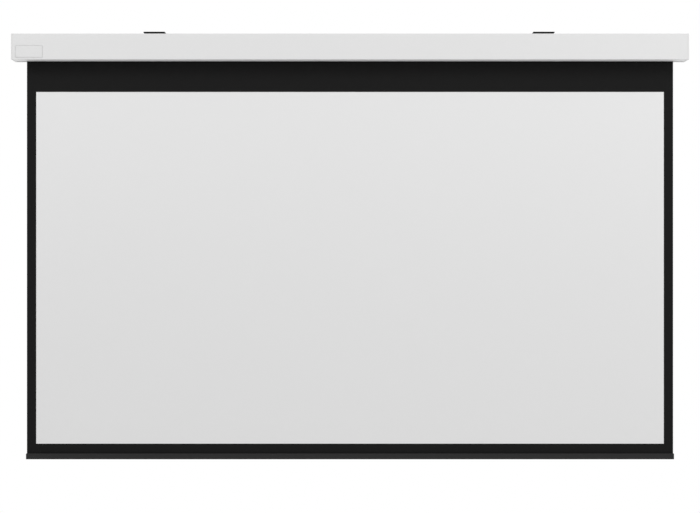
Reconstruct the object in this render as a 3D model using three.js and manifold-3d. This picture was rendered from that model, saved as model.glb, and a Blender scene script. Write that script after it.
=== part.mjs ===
// Motorized projector screen. A long case holds a roller with a tubular motor inside it, a sheet
// hangs from the roller through a slot in the case's floor, a weighted bar stretches the sheet,
// and two brackets slide along tracks in the case's top to hang it from a ceiling or a wall.
// Millimetres, +Z up. X runs along the case and the audience sits on the -Y side.
// The origin lies over the middle of the case, where the ceiling plane (the brackets' top faces)
// meets the wall plane (the brackets' rear faces).

import * as THREE from 'three';
import { mergeVertices } from 'three/addons/utils/BufferGeometryUtils.js';
import Module from 'manifold-3d';

const wasm = await Module();
wasm.setup();

// Fits shared by every piece
const SEAT_GAP = 0.05;
const FIT_GAP = 0.3;
const CUT_OVERRUN = 4;
const JOIN_OVERLAP = 0.4;
const VERTEX_TOLERANCE = 0.0001;

// Facet counts
const ROUND_SIDES = 36;
const MEDIUM_ROUND_SIDES = 18;
const SMALL_ROUND_SIDES = 12;
const CORNER_STEPS = 2;
const LEAD_SIDES = 8;
const LEAD_STEPS = 20;
const HEM_STEPS = 9;

// Sheet: white picture area with a black border film on its front
const PICTURE_WIDTH = 2400;
const PICTURE_HEIGHT = 1345;
const SIDE_BORDER = 35.4;
const TOP_BORDER = 116.4;
const BOTTOM_BORDER = 37;
const SHEET_THICKNESS = 0.45;
const FILM_THICKNESS = 0.15;

// Roller tube with its keyhole groove for the sheet's clamping strip
const TUBE_RADIUS = 25;
const TUBE_WALL = 1.5;
const TUBE_OVERHANG = 6.6;
const GROOVE_RADIUS = 2.2;
const GROOVE_WALL = 1.2;
const GROOVE_MOUTH = 2.4;
const GROOVE_LIP = 0.4;
const WRAP_TURNS = 2;
const WRAP_GAP = 0.45;

// Plugs in the roller's ends and the bearing of the idler end
const PLUG_FLANGE = 2;
const PLUG_DEPTH = 40;
const PLUG_HUB_RADIUS = 11.5;
const SPOKE_WIDTH = 5;
const SPOKE_COUNT = 3;
const SPOKE_TURN_SHARE = 0.5;
const RIM_THICKNESS = 3;
const CROWN_DEPTH = 20;
const BUSH_RADIUS = 8;
const BUSH_WALL = 1.8;
const BUSH_FLANGE_RADIUS = 10;
const BUSH_FLANGE = 1.6;
const PIN_RUNNING_GAP = 0.15;
const PIN_COLLAR_RADIUS = 9;
const PIN_COLLAR = 10;
const PIN_STUD_RADIUS = 4.8;
const PIN_STUD = 3;
const PIN_CHAMFER = 0.8;

// Tubular motor
const HEAD_LENGTH = 26;
const HEAD_RADIUS = 22;
const HEAD_FLANGE_RADIUS = 24;
const HEAD_FLANGE = 4;
const HEAD_CHAMFER = 1.2;
const HEAD_PIN_WIDTH = 10;
const HEAD_PIN_REACH = 3;
const HEAD_RUNNING_GAP = 2.9;
const MOTOR_RADIUS = 17.5;
const MOTOR_LENGTH = 456;
const MOTOR_CHAMFER = 1;
const SHAFT_RADIUS = 5;
const SHAFT_DEPTH = 12;
const SHAFT_REACH = 28;
const SHAFT_HEX_RADIUS = 6;
const SHAFT_NECK = 2;
const DRIVE_WHEEL_DEPTH = 22;
const LIMIT_SCREW_RADIUS = 2.5;
const LIMIT_SCREW_LENGTH = 7;
const LIMIT_SCREW_RECESS = 0.6;
const LIMIT_SCREW_SOCKET_RADIUS = 1.5;
const LIMIT_SCREW_SOCKET_DEPTH = 2.4;
const LIMIT_SCREW_SPACING = 11;
const LIMIT_SCREW_PLACE = 14;
const LIMIT_SCREW_ANGLE = THREE.MathUtils.degToRad(-63);

// Plates that carry the motor head and the idler pin
const PLATE_THICKNESS = 2.5;
const PLATE_WIDTH = 56;
const PLATE_CORNER = 4;
const PLATE_SCREW_INSET = 5;
const PLATE_SCREW_DEPTH = 5;
const PLATE_TO_INLET_GAP = 0.9;

// Case shell, an extruded profile
const CASE_WALL = 1.5;
const CASE_CORNER = 1.5;
const CASE_LEAST_CORNER = 0.75;
const FRONT_ROOM = 11.43;
const SLOT_REAR_LAND = 16;
const BAR_SLOT_GAP = 2;
const LIP_HEIGHT = 5;
const LIP_THICKNESS = 1.5;
const TRACK_SPACING = 53;
const TRACK_MOUTH = 8.6;
const TRACK_LIP = 1.8;
const TRACK_WIDTH = 16;
const TRACK_DEPTH = 5;
const TRACK_WALL = 1.5;
const TRACK_TO_ROLL_GAP = 6.96;
const ROLL_TO_BAR_GAP = 2.6;
const PORT_RADIUS = 3.3;
const PORT_BORE_RADIUS = 1.9;
const PORT_INSET = 4.5;
const PORT_MOUTH = 1.4;

// End caps
const CAP_THICKNESS = 8;
const CAP_SKIN = 2.5;
const CAP_RIM = 2.6;
const CAP_EDGE = 1;
const CAP_RIB = 2;
const CAP_RIB_COUNT = 3;
const CAP_BOSS_RADIUS = 4.4;
const SPIGOT_DEPTH = 12;
const SPIGOT_WALL = 2;
const CAP_SCREW_RADIUS = 1.6;
const CAP_SCREW_HEAD_RADIUS = 3;
const CAP_SCREW_LENGTH = 20;
const CAP_SCREW_SINK = 0.2;
const SCREW_TIP_SHARE = 0.5;

// Pan head screws of the two plates
const PAN_HEAD_RADIUS = 3.6;
const PAN_HEAD = 2.2;
const PAN_HEAD_CROWN = 0.8;

// Power inlet in the left end cap
const INLET_WIDTH = 27;
const INLET_HEIGHT = 19.8;
const INLET_CORNER = 3;
const INLET_DEPTH = 22;
const INLET_RIM = 2;
const INLET_RIM_THICKNESS = 1.6;
const INLET_WALL = 1.6;
const INLET_SOCKET_DEPTH = 17;
const INLET_SOCKET_CORNER = 2.2;
const INLET_FRONT_INSET = 27;
const INLET_PAD = 2;
const CONTACT_WIDTH = 2;
const CONTACT_HEIGHT = 4;
const CONTACT_LENGTH = 11.5;
const CONTACT_SPACING = 7;
const CONTACT_STEP = 4;

// Receiver box on the case's floor, and the leads that it joins
const RECEIVER_LENGTH = 150;
const RECEIVER_START = 75.5;
const RECEIVER_ROOM = 3;
const RECEIVER_SIDE_ROOM = 1.5;
const RECEIVER_WALL = 1.8;
const RECEIVER_LID = 2;
const RECEIVER_CORNER = 2;
const BOARD_THICKNESS = 1.6;
const BOARD_STANDOFF = 3;
const BOARD_STANDOFF_RADIUS = 1.5;
const RECEIVER_INNER_CORNER = 1;
const LEAD_RADIUS = 3;
const MOTOR_LEAD_RADIUS = 2.5;
const MOTOR_LEAD_PLACE = 14;
const MOTOR_LEAD_ANGLE = THREE.MathUtils.degToRad(-105);
const LEAD_HANDLE_SHARE = 0.35;
const LEAD_ENTRY_SPACING = 14;

// Raised bare plate on the case's front
const FRONT_PLATE_LENGTH = 104.1;
const FRONT_PLATE_HEIGHT = 47.4;
const FRONT_PLATE_THICKNESS = 1.5;
const FRONT_PLATE_CORNER = 4;
const FRONT_PLATE_EDGE = 0.4;
const FRONT_PLATE_END_INSET = 16.2;
const FRONT_PLATE_FLOOR_INSET = 6.9;

// Bottom bar with its two channels
const BAR_HEIGHT = 22.2;
const BAR_DEPTH = 14;
const BAR_CORNER = 2;
const BAR_WALL = 1.3;
const CHAMBER_CORNER = 1;
const BAR_SHOW = 4.24;
const BAR_OVERHANG = 2.6;
const HEM_CHANNEL_RADIUS = 4.2;
const HEM_MOUTH = 2.4;
const HEM_ROD_RADIUS = 3;
const HEM_GAP_ANGLE = THREE.MathUtils.degToRad(24);
const WEIGHT_ROD_RADIUS = 4.2;
const BAR_CAP_CORNER = 2;
const BAR_CAP_PLUG = 10;
const ROD_END_GAP = 1.5;

// Hanging brackets with their sliding nuts
const BRACKET_WIDTH = 81;
const BRACKET_THICKNESS = 2.5;
const BRACKET_FRONT_INSET = 12;
const BRACKET_WALL_LEG = 72;
const BRACKET_BEND = 2.5;
const BRACKET_CORNER = 1.5;
const BRACKET_SLOT_LENGTH = 20;
const BRACKET_SLOT_RADIUS = 3.25;
const BRACKET_SLOT_SPACING = 44;
const BRACKET_WALL_SLOT_DROP = 44;
const TOP_GAP = 6;
const BACK_GAP = 2.5;
const LEFT_BRACKET_PLACE = -743;
const RIGHT_BRACKET_PLACE = 736;
const NUT_LENGTH = 20;
const NUT_WIDTH = 15;
const NUT_THICKNESS = 4.2;
const NUT_NECK_RADIUS = 4;
const CLAMP_SCREW_RADIUS = 2.4;
const CLAMP_SCREW_HEAD_RADIUS = 4.5;
const CLAMP_SCREW_SINK = 0.2;
const CLAMP_SCREW_LENGTH = 13.5;
const CLAMP_SCREW_TIP = 0.6;

// Sheet and its travel
const SHEET_WIDTH = PICTURE_WIDTH + 2 * SIDE_BORDER;
const BAR_TRAVEL = TOP_BORDER + PICTURE_HEIGHT + BOTTOM_BORDER + BAR_HEIGHT - BAR_SHOW;

// Roll: the wraps that stay on the tube, and the full roll when the bar is up
const WRAP_PITCH = SHEET_THICKNESS + WRAP_GAP;
const SHEET_RADIUS = TUBE_RADIUS + FIT_GAP + SHEET_THICKNESS / 2 + WRAP_TURNS * WRAP_PITCH;
const ROLL_RADIUS = SHEET_RADIUS + SHEET_THICKNESS / 2;
const FULL_ROLL_RADIUS = Math.sqrt(ROLL_RADIUS ** 2 + (BAR_TRAVEL * SHEET_THICKNESS) / Math.PI);

// Lengths along the case, each side of its middle
const TUBE_HALF = SHEET_WIDTH / 2 + TUBE_OVERHANG;
const PLATE_FACE = TUBE_HALF + PLUG_FLANGE + HEAD_RUNNING_GAP + HEAD_LENGTH + SEAT_GAP;
const SHELL_HALF = PLATE_FACE + PLATE_THICKNESS + SEAT_GAP;
const CASE_HALF = SHELL_HALF + CAP_THICKNESS;

// Case section, measured from the case's middle
const TRACK_HEIGHT = TRACK_LIP + TRACK_DEPTH + TRACK_WALL;
const ROLLER_DROP = TRACK_HEIGHT + TRACK_TO_ROLL_GAP + FULL_ROLL_RADIUS;
const CASE_HEIGHT = ROLLER_DROP + FULL_ROLL_RADIUS + ROLL_TO_BAR_GAP + BAR_HEIGHT - BAR_SHOW;
const SLOT_WIDTH = BAR_DEPTH + 2 * BAR_SLOT_GAP;
const SHEET_TO_BACK = SLOT_REAR_LAND + SLOT_WIDTH / 2;
const CASE_DEPTH = SHEET_TO_BACK + SHEET_RADIUS + FULL_ROLL_RADIUS + FRONT_ROOM;
const FRONT_Y = -CASE_DEPTH / 2;
const BACK_Y = CASE_DEPTH / 2;
const TOP_Z = CASE_HEIGHT / 2;
const FLOOR_Z = -CASE_HEIGHT / 2;
const SHEET_Y = BACK_Y - SHEET_TO_BACK;
const SLOT_FRONT_Y = SHEET_Y - SLOT_WIDTH / 2;
const SLOT_BACK_Y = SHEET_Y + SLOT_WIDTH / 2;
const ROLLER_Y = SHEET_Y - SHEET_RADIUS;
const ROLLER_Z = TOP_Z - ROLLER_DROP;
const PORT_PLACES = [
  [FRONT_Y + PORT_INSET, TOP_Z - PORT_INSET],
  [BACK_Y - PORT_INSET, TOP_Z - PORT_INSET],
  [FRONT_Y + PORT_INSET, FLOOR_Z + PORT_INSET],
  [BACK_Y - PORT_INSET, FLOOR_Z + PORT_INSET],
];

// Case middle and sheet end heights in the whole part's frame
const CASE_PLACE_Y = -(BRACKET_THICKNESS + BACK_GAP + CASE_DEPTH / 2);
const CASE_PLACE_Z = -(BRACKET_THICKNESS + TOP_GAP + CASE_HEIGHT / 2);
const BAR_TOP_Z = FLOOR_Z - TOP_BORDER - PICTURE_HEIGHT - BOTTOM_BORDER;
const SHEET_TOP_Z = ROLLER_Z - FIT_GAP;
const HEM_LOOP_RADIUS = HEM_ROD_RADIUS + FIT_GAP + SHEET_THICKNESS;
const HEM_CENTRE_Z = BAR_TOP_Z - BAR_WALL - HEM_CHANNEL_RADIUS;
const SHEET_END_Z = HEM_CENTRE_Z + HEM_LOOP_RADIUS + FIT_GAP;

// Inlet and plates, measured from the case's middle
const INLET_Y = FRONT_Y + INLET_FRONT_INSET;
const INLET_FLOOR = CASE_WALL + FIT_GAP + SPIGOT_WALL + FIT_GAP;
const INLET_Z = FLOOR_Z + INLET_FLOOR + INLET_HEIGHT / 2;
const PLATE_HEIGHT = 2 * (ROLLER_Z - INLET_Z - INLET_HEIGHT / 2 - PLATE_TO_INLET_GAP);
const PLATE_SCREW_PLACES = [
  [-PLATE_WIDTH / 2 + PLATE_SCREW_INSET, PLATE_HEIGHT / 2 - PLATE_SCREW_INSET],
  [PLATE_WIDTH / 2 - PLATE_SCREW_INSET, -PLATE_HEIGHT / 2 + PLATE_SCREW_INSET],
];

// Groove, plugs and motor end, measured from the roller's axis and the case's middle
const GROOVE_CENTRE = TUBE_RADIUS - GROOVE_LIP - GROOVE_RADIUS;
const PLUG_RADIUS = TUBE_RADIUS - TUBE_WALL - FIT_GAP;
const MOTOR_END_X = -PLATE_FACE + HEAD_LENGTH + MOTOR_LENGTH;

// Bottom bar's half length and section, measured from its middle
const BAR_HALF = SHEET_WIDTH / 2 + BAR_OVERHANG;
const BAR_CAP_THICKNESS = BAR_OVERHANG - FIT_GAP;
const HEM_Z = BAR_HEIGHT / 2 - BAR_WALL - HEM_CHANNEL_RADIUS;
const CHAMBER_TOP = HEM_Z - HEM_CHANNEL_RADIUS - BAR_WALL;
const CHAMBER_LOW = -BAR_HEIGHT / 2 + BAR_WALL;
const CHAMBER_WIDTH = BAR_DEPTH - 2 * BAR_WALL;

// Brackets' reach, and the middles of the two tracks in the whole part's frame
const BRACKET_REACH = BRACKET_THICKNESS + BACK_GAP + CASE_DEPTH - BRACKET_FRONT_INSET;
const TRACK_PLACES = [
  CASE_PLACE_Y - TRACK_SPACING / 2,
  CASE_PLACE_Y + TRACK_SPACING / 2,
];

// Receiver box, measured from the case's middle
const RECEIVER_X = -(CASE_HALF - RECEIVER_START - RECEIVER_LENGTH / 2);
const RECEIVER_FRONT_Y = FRONT_Y + PORT_INSET + PORT_RADIUS + RECEIVER_SIDE_ROOM;
const RECEIVER_BACK_Y = SLOT_FRONT_Y - LIP_THICKNESS - RECEIVER_SIDE_ROOM;
const RECEIVER_DEPTH = RECEIVER_BACK_Y - RECEIVER_FRONT_Y;
const RECEIVER_Y = (RECEIVER_FRONT_Y + RECEIVER_BACK_Y) / 2;
const RECEIVER_BASE_Z = FLOOR_Z + CASE_WALL + SEAT_GAP;
const RECEIVER_HEIGHT = ROLLER_Z - FULL_ROLL_RADIUS - RECEIVER_ROOM - RECEIVER_BASE_Z;

const Y_AXIS = new THREE.Vector3(0, 1, 0);
const Z_AXIS = new THREE.Vector3(0, 0, 1);
const X_AXIS = new THREE.Vector3(1, 0, 0);
const SECTION_ALONG_X = new THREE.Matrix4().makeBasis(Y_AXIS, Z_AXIS, X_AXIS);
const SECTION_TOWARDS_FRONT = new THREE.Matrix4().makeBasis(X_AXIS, Z_AXIS, Y_AXIS.clone().negate());
const QUARTER_TURN = Math.PI / 2;
const FULL_TURN = Math.PI * 2;
const HEX_SIDES = 6;

function finish(color, roughness, metalness) {
  return new THREE.MeshStandardMaterial({ color, roughness, metalness });
}

const FINISHES = {
  caseWhite: finish(0xe2e2e2, 0.5, 0),
  capWhite: finish(0xdedede, 0.55, 0),
  plateWhite: finish(0xe0e0e0, 0.45, 0),
  bracketBlack: finish(0x2a2a2a, 0.5, 0.3),
  barBlack: finish(0x303030, 0.4, 0.5),
  plasticBlack: finish(0x1e1e1e, 0.6, 0),
  sheetWhite: finish(0xe6e6e6, 0.9, 0),
  borderBlack: finish(0x1c1c1c, 0.9, 0),
  aluminium: finish(0xb8babd, 0.4, 0.9),
  zinc: finish(0x9fa2a6, 0.35, 0.9),
  steel: finish(0x8d9094, 0.35, 0.9),
  nylon: finish(0xd8d4c8, 0.6, 0),
  bronze: finish(0xa9793f, 0.4, 0.8),
  limitYellow: finish(0xd8b23a, 0.5, 0),
  limitWhite: finish(0xe8e6df, 0.5, 0),
  boardGreen: finish(0x2f6b3c, 0.5, 0),
};

// Turns a closed geometry into a solid that can be joined and cut
function solidFrom(geometry) {
  geometry.deleteAttribute('normal');
  geometry.deleteAttribute('uv');
  const merged = mergeVertices(geometry, VERTEX_TOLERANCE);
  const vertProperties = new Float32Array(merged.attributes.position.array);
  const triVerts = new Uint32Array(merged.index.array);
  return new wasm.Manifold(new wasm.Mesh({ numProp: 3, vertProperties, triVerts }));
}

function geometryFrom(solid) {
  const surface = solid.getMesh();
  const geometry = new THREE.BufferGeometry();
  const positions = new Float32Array(surface.vertProperties);
  geometry.setAttribute('position', new THREE.BufferAttribute(positions, 3));
  geometry.setIndex(new THREE.BufferAttribute(new Uint32Array(surface.triVerts), 1));
  geometry.computeVertexNormals();
  return geometry;
}

function namedMesh(name, solid, material) {
  const mesh = new THREE.Mesh(geometryFrom(solid), material);
  mesh.name = name;
  return mesh;
}

function joinAll(solids) {
  return solids.reduce((whole, solid) => whole.add(solid));
}

function cutAll(body, tools) {
  return tools.reduce((rest, tool) => rest.subtract(tool), body);
}

function extruded(shape, depth, steps = CORNER_STEPS) {
  return new THREE.ExtrudeGeometry(shape, { depth, bevelEnabled: false, curveSegments: steps });
}

// A section drawn in Y and Z, carried along X from one place to another
function barAlongX(shape, from, to, steps) {
  const geometry = extruded(shape, Math.abs(to - from), steps);
  geometry.applyMatrix4(SECTION_ALONG_X);
  geometry.translate(Math.min(from, to), 0, 0);
  return solidFrom(geometry);
}

function boxBetween(low, high) {
  const size = high.map((value, axis) => value - low[axis]);
  const geometry = new THREE.BoxGeometry(...size);
  geometry.translate(...low.map((value, axis) => value + size[axis] / 2));
  return solidFrom(geometry);
}

function rodAlongX(radius, from, to, y = 0, z = 0, sides = ROUND_SIDES) {
  const geometry = new THREE.CylinderGeometry(radius, radius, Math.abs(to - from), sides);
  geometry.rotateZ(-QUARTER_TURN);
  geometry.translate((from + to) / 2, y, z);
  return solidFrom(geometry);
}

function rodAlongZ(radius, from, to, x = 0, y = 0, sides = SMALL_ROUND_SIDES) {
  const geometry = new THREE.CylinderGeometry(radius, radius, Math.abs(to - from), sides);
  geometry.rotateX(QUARTER_TURN);
  geometry.translate(x, y, (from + to) / 2);
  return solidFrom(geometry);
}

function rodAlongY(radius, from, to, x = 0, z = 0, sides = SMALL_ROUND_SIDES) {
  const geometry = new THREE.CylinderGeometry(radius, radius, Math.abs(to - from), sides);
  geometry.translate(x, (from + to) / 2, z);
  return solidFrom(geometry);
}

// A turned piece: pairs of radius and place along X, from the axis back to the axis
function turnedAlongX(profile, sides = ROUND_SIDES, y = 0, z = 0) {
  const points = profile.map(([radius, along]) => new THREE.Vector2(radius, along));
  const geometry = new THREE.LatheGeometry(points, sides);
  geometry.rotateZ(-QUARTER_TURN);
  geometry.translate(0, y, z);
  return solidFrom(geometry);
}

function turnedAlongZ(profile, sides = SMALL_ROUND_SIDES, y = 0) {
  const points = profile.map(([radius, along]) => new THREE.Vector2(radius, along));
  const geometry = new THREE.LatheGeometry(points, sides);
  geometry.rotateX(QUARTER_TURN);
  geometry.translate(0, y, 0);
  return solidFrom(geometry);
}

function roundedRectangle(width, height, corner, centreX = 0, centreY = 0) {
  const left = centreX - width / 2;
  const right = centreX + width / 2;
  const low = centreY - height / 2;
  const high = centreY + height / 2;
  const shape = new THREE.Shape();
  shape.moveTo(left + corner, low);
  shape.lineTo(right - corner, low);
  shape.absarc(right - corner, low + corner, corner, -QUARTER_TURN, 0, false);
  shape.lineTo(right, high - corner);
  shape.absarc(right - corner, high - corner, corner, 0, QUARTER_TURN, false);
  shape.lineTo(left + corner, high);
  shape.absarc(left + corner, high - corner, corner, QUARTER_TURN, Math.PI, false);
  shape.lineTo(left, low + corner);
  shape.absarc(left + corner, low + corner, corner, Math.PI, Math.PI + QUARTER_TURN, false);
  shape.closePath();
  return shape;
}

// Case shell: a hollow profile with two bracket tracks, four screw ports and the sheet's slot
function caseOutline(inset) {
  const corner = Math.max(CASE_CORNER - inset, CASE_LEAST_CORNER);
  return roundedRectangle(CASE_DEPTH - 2 * inset, CASE_HEIGHT - 2 * inset, corner);
}

function shellLength(solidFor) {
  return solidFor(-SHELL_HALF, SHELL_HALF);
}

function cutLength(solidFor) {
  return solidFor(-SHELL_HALF - CUT_OVERRUN, SHELL_HALF + CUT_OVERRUN);
}

function trackHousing(y) {
  const half = TRACK_WIDTH / 2 + TRACK_WALL;
  const low = TOP_Z - TRACK_HEIGHT;
  return shellLength((from, to) => boxBetween([from, y - half, low], [to, y + half, TOP_Z]));
}

function trackCut(y) {
  const roomTop = TOP_Z - TRACK_LIP;
  const roomLow = roomTop - TRACK_DEPTH;
  const room = cutLength((from, to) =>
    boxBetween([from, y - TRACK_WIDTH / 2, roomLow], [to, y + TRACK_WIDTH / 2, roomTop]));
  const mouthTop = TOP_Z + CUT_OVERRUN;
  const mouthLow = roomTop - JOIN_OVERLAP;
  const mouth = cutLength((from, to) =>
    boxBetween([from, y - TRACK_MOUTH / 2, mouthLow], [to, y + TRACK_MOUTH / 2, mouthTop]));
  return room.add(mouth);
}

function screwPort([y, z]) {
  return shellLength((from, to) => rodAlongX(PORT_RADIUS, from, to, y, z, SMALL_ROUND_SIDES));
}

function screwPortCut([y, z]) {
  const bore = cutLength((from, to) => rodAlongX(PORT_BORE_RADIUS, from, to, y, z, SMALL_ROUND_SIDES));
  const inward = y < 0 ? PORT_RADIUS + JOIN_OVERLAP : -PORT_RADIUS - JOIN_OVERLAP;
  const low = Math.min(y, y + inward);
  const high = Math.max(y, y + inward);
  const mouth = cutLength((from, to) =>
    boxBetween([from, low, z - PORT_MOUTH / 2], [to, high, z + PORT_MOUTH / 2]));
  return bore.add(mouth);
}

function slotLip(y) {
  const top = FLOOR_Z + CASE_WALL + LIP_HEIGHT;
  return shellLength((from, to) => boxBetween([from, y, FLOOR_Z], [to, y + LIP_THICKNESS, top]));
}

function caseShell() {
  const outer = shellLength((from, to) => barAlongX(caseOutline(0), from, to));
  const hollow = cutLength((from, to) => barAlongX(caseOutline(CASE_WALL), from, to));
  const tracks = [-TRACK_SPACING / 2, TRACK_SPACING / 2];
  const walls = joinAll([
    outer.subtract(hollow),
    ...tracks.map(trackHousing),
    ...PORT_PLACES.map(screwPort),
    slotLip(SLOT_FRONT_Y - LIP_THICKNESS),
    slotLip(SLOT_BACK_Y),
  ]).intersect(outer);
  const slot = cutLength((from, to) =>
    boxBetween([from, SLOT_FRONT_Y, FLOOR_Z - CUT_OVERRUN], [to, SLOT_BACK_Y, FLOOR_Z + CUT_OVERRUN]));
  return cutAll(walls, [slot, ...tracks.map(trackCut), ...PORT_PLACES.map(screwPortCut)]);
}

// End caps: x grows outwards from the shell's end on either side
function capFlange(side) {
  const shape = caseOutline(0);
  const geometry = new THREE.ExtrudeGeometry(shape, {
    depth: CAP_THICKNESS - CAP_EDGE,
    bevelEnabled: true,
    bevelThickness: CAP_EDGE,
    bevelSize: CAP_EDGE,
    bevelOffset: -CAP_EDGE,
    bevelSegments: CORNER_STEPS,
    curveSegments: CORNER_STEPS,
  });
  geometry.applyMatrix4(SECTION_ALONG_X);
  geometry.translate(side > 0 ? 0 : CAP_EDGE - CAP_THICKNESS, 0, 0);
  const bevelDepth = 2 * CAP_EDGE;
  const innerBevel = boxBetween(
    [Math.min(0, -side * bevelDepth), -CASE_DEPTH, -CASE_HEIGHT],
    [Math.max(0, -side * bevelDepth), CASE_DEPTH, CASE_HEIGHT],
  );
  return solidFrom(geometry).subtract(innerBevel);
}

function capPocket(side) {
  const pocketFloor = side * (CAP_THICKNESS - CAP_SKIN);
  return barAlongX(caseOutline(CAP_RIM), -side * CUT_OVERRUN, pocketFloor);
}

function capRibs(side) {
  const depth = side * (CAP_THICKNESS - CAP_SKIN + JOIN_OVERLAP);
  const low = Math.min(0, depth);
  const high = Math.max(0, depth);
  const reachY = (CASE_DEPTH - CAP_RIM) / 2;
  const reachZ = (CASE_HEIGHT - CAP_RIM) / 2;
  const ribs = [];
  for (let index = 1; index <= CAP_RIB_COUNT; index += 1) {
    const share = index / (CAP_RIB_COUNT + 1);
    const y = FRONT_Y + CASE_DEPTH * share;
    const z = FLOOR_Z + CASE_HEIGHT * share;
    ribs.push(boxBetween([low, y - CAP_RIB / 2, -reachZ], [high, y + CAP_RIB / 2, reachZ]));
    ribs.push(boxBetween([low, -reachY, z - CAP_RIB / 2], [high, reachY, z + CAP_RIB / 2]));
  }
  return ribs;
}

function capBosses(side) {
  const depth = side * (CAP_THICKNESS - CAP_SKIN + JOIN_OVERLAP);
  const pad = roundedRectangle(PLATE_WIDTH, PLATE_HEIGHT, PLATE_CORNER, ROLLER_Y, ROLLER_Z);
  const bosses = PORT_PLACES.map(([y, z]) =>
    rodAlongX(CAP_BOSS_RADIUS, 0, depth, y, z, SMALL_ROUND_SIDES));
  return [barAlongX(pad, 0, depth), ...bosses];
}

function capSpigot(side) {
  const start = side * JOIN_OVERLAP;
  const end = -side * SPIGOT_DEPTH;
  const outside = barAlongX(caseOutline(CASE_WALL + FIT_GAP), start, end);
  const insideInset = CASE_WALL + FIT_GAP + SPIGOT_WALL;
  const inside = barAlongX(caseOutline(insideInset), side * CUT_OVERRUN, end - side * CUT_OVERRUN);
  const keepClear = [];
  const [clearLow, clearHigh] = [Math.min(0, 2 * end), Math.max(0, 2 * end)];
  for (const [y, z] of PORT_PLACES) {
    keepClear.push(rodAlongX(PORT_RADIUS + FIT_GAP, 0, 2 * end, y, z, SMALL_ROUND_SIDES));
  }
  for (const y of [-TRACK_SPACING / 2, TRACK_SPACING / 2]) {
    const half = TRACK_WIDTH / 2 + TRACK_WALL + FIT_GAP;
    const trackLow = TOP_Z - TRACK_HEIGHT - FIT_GAP;
    keepClear.push(boxBetween([clearLow, y - half, trackLow], [clearHigh, y + half, TOP_Z]));
  }
  const lipSide = LIP_THICKNESS + FIT_GAP;
  const lipTop = FLOOR_Z + CASE_WALL + LIP_HEIGHT + FIT_GAP;
  keepClear.push(boxBetween(
    [clearLow, SLOT_FRONT_Y - lipSide, FLOOR_Z],
    [clearHigh, SLOT_BACK_Y + lipSide, lipTop],
  ));
  return cutAll(outside.subtract(inside), keepClear);
}

// The hole that a countersunk screw passes, wide end outwards
function capScrewHole(side, y, z) {
  const head = CAP_SCREW_HEAD_RADIUS + FIT_GAP;
  const shank = CAP_SCREW_RADIUS + FIT_GAP;
  const profile = [
    [0, -CUT_OVERRUN], [shank, -CUT_OVERRUN], [shank, CAP_THICKNESS + shank - head],
    [head, CAP_THICKNESS], [head, CAP_THICKNESS + CUT_OVERRUN], [0, CAP_THICKNESS + CUT_OVERRUN],
  ];
  const outwards = profile.map(([radius, along]) => [radius, side * along]);
  return turnedAlongX(side > 0 ? outwards : outwards.reverse(), SMALL_ROUND_SIDES, y, z);
}

function capCuts(side) {
  const screws = PORT_PLACES.map(([y, z]) => capScrewHole(side, y, z));
  const plateScrews = PLATE_SCREW_PLACES.map(([y, z]) =>
    rodAlongX(CAP_SCREW_RADIUS + FIT_GAP, -side * CUT_OVERRUN, side * (PLATE_SCREW_DEPTH + FIT_GAP),
      ROLLER_Y + y, ROLLER_Z + z, SMALL_ROUND_SIDES));
  const pinRecess = rodAlongX(HEAD_PIN_WIDTH, -side * CUT_OVERRUN, side * (HEAD_PIN_REACH + FIT_GAP),
    ROLLER_Y, ROLLER_Z, SMALL_ROUND_SIDES);
  return [...screws, ...plateScrews, pinRecess];
}

function endCap(side) {
  const hollowed = capFlange(side).subtract(capPocket(side));
  const ribs = joinAll([...capRibs(side), ...capBosses(side)]).intersect(capFlange(side));
  return cutAll(joinAll([hollowed, ribs, capSpigot(side)]), capCuts(side));
}

// A pad stands round the inlet's hole in the left cap
function leftEndCap() {
  const depth = -(CAP_THICKNESS - CAP_SKIN + JOIN_OVERLAP);
  const padShape = roundedRectangle(INLET_WIDTH + 2 * INLET_PAD, INLET_HEIGHT + 2 * INLET_PAD,
    INLET_CORNER, INLET_Y, INLET_Z);
  const holeShape = roundedRectangle(INLET_WIDTH + 2 * FIT_GAP, INLET_HEIGHT + 2 * FIT_GAP,
    INLET_CORNER, INLET_Y, INLET_Z);
  const pad = barAlongX(padShape, 0, depth).intersect(capFlange(-1));
  const hole = barAlongX(holeShape, INLET_DEPTH, -CAP_THICKNESS - CUT_OVERRUN);
  return endCap(-1).add(pad).subtract(hole);
}

function countersunkScrewAlongX(headRadius, shankRadius, length) {
  const taper = headRadius - shankRadius;
  return turnedAlongX([
    [0, -length], [shankRadius * SCREW_TIP_SHARE, -length], [shankRadius, -length + shankRadius],
    [shankRadius, -taper], [headRadius, 0], [0, 0],
  ], SMALL_ROUND_SIDES);
}

function panHeadScrewAlongX(shankRadius, length) {
  return turnedAlongX([
    [0, -length], [shankRadius * SCREW_TIP_SHARE, -length], [shankRadius, -length + shankRadius],
    [shankRadius, 0], [PAN_HEAD_RADIUS, 0], [PAN_HEAD_RADIUS, PAN_HEAD - PAN_HEAD_CROWN],
    [PAN_HEAD_RADIUS - PAN_HEAD_CROWN, PAN_HEAD], [0, PAN_HEAD],
  ], SMALL_ROUND_SIDES);
}

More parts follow.
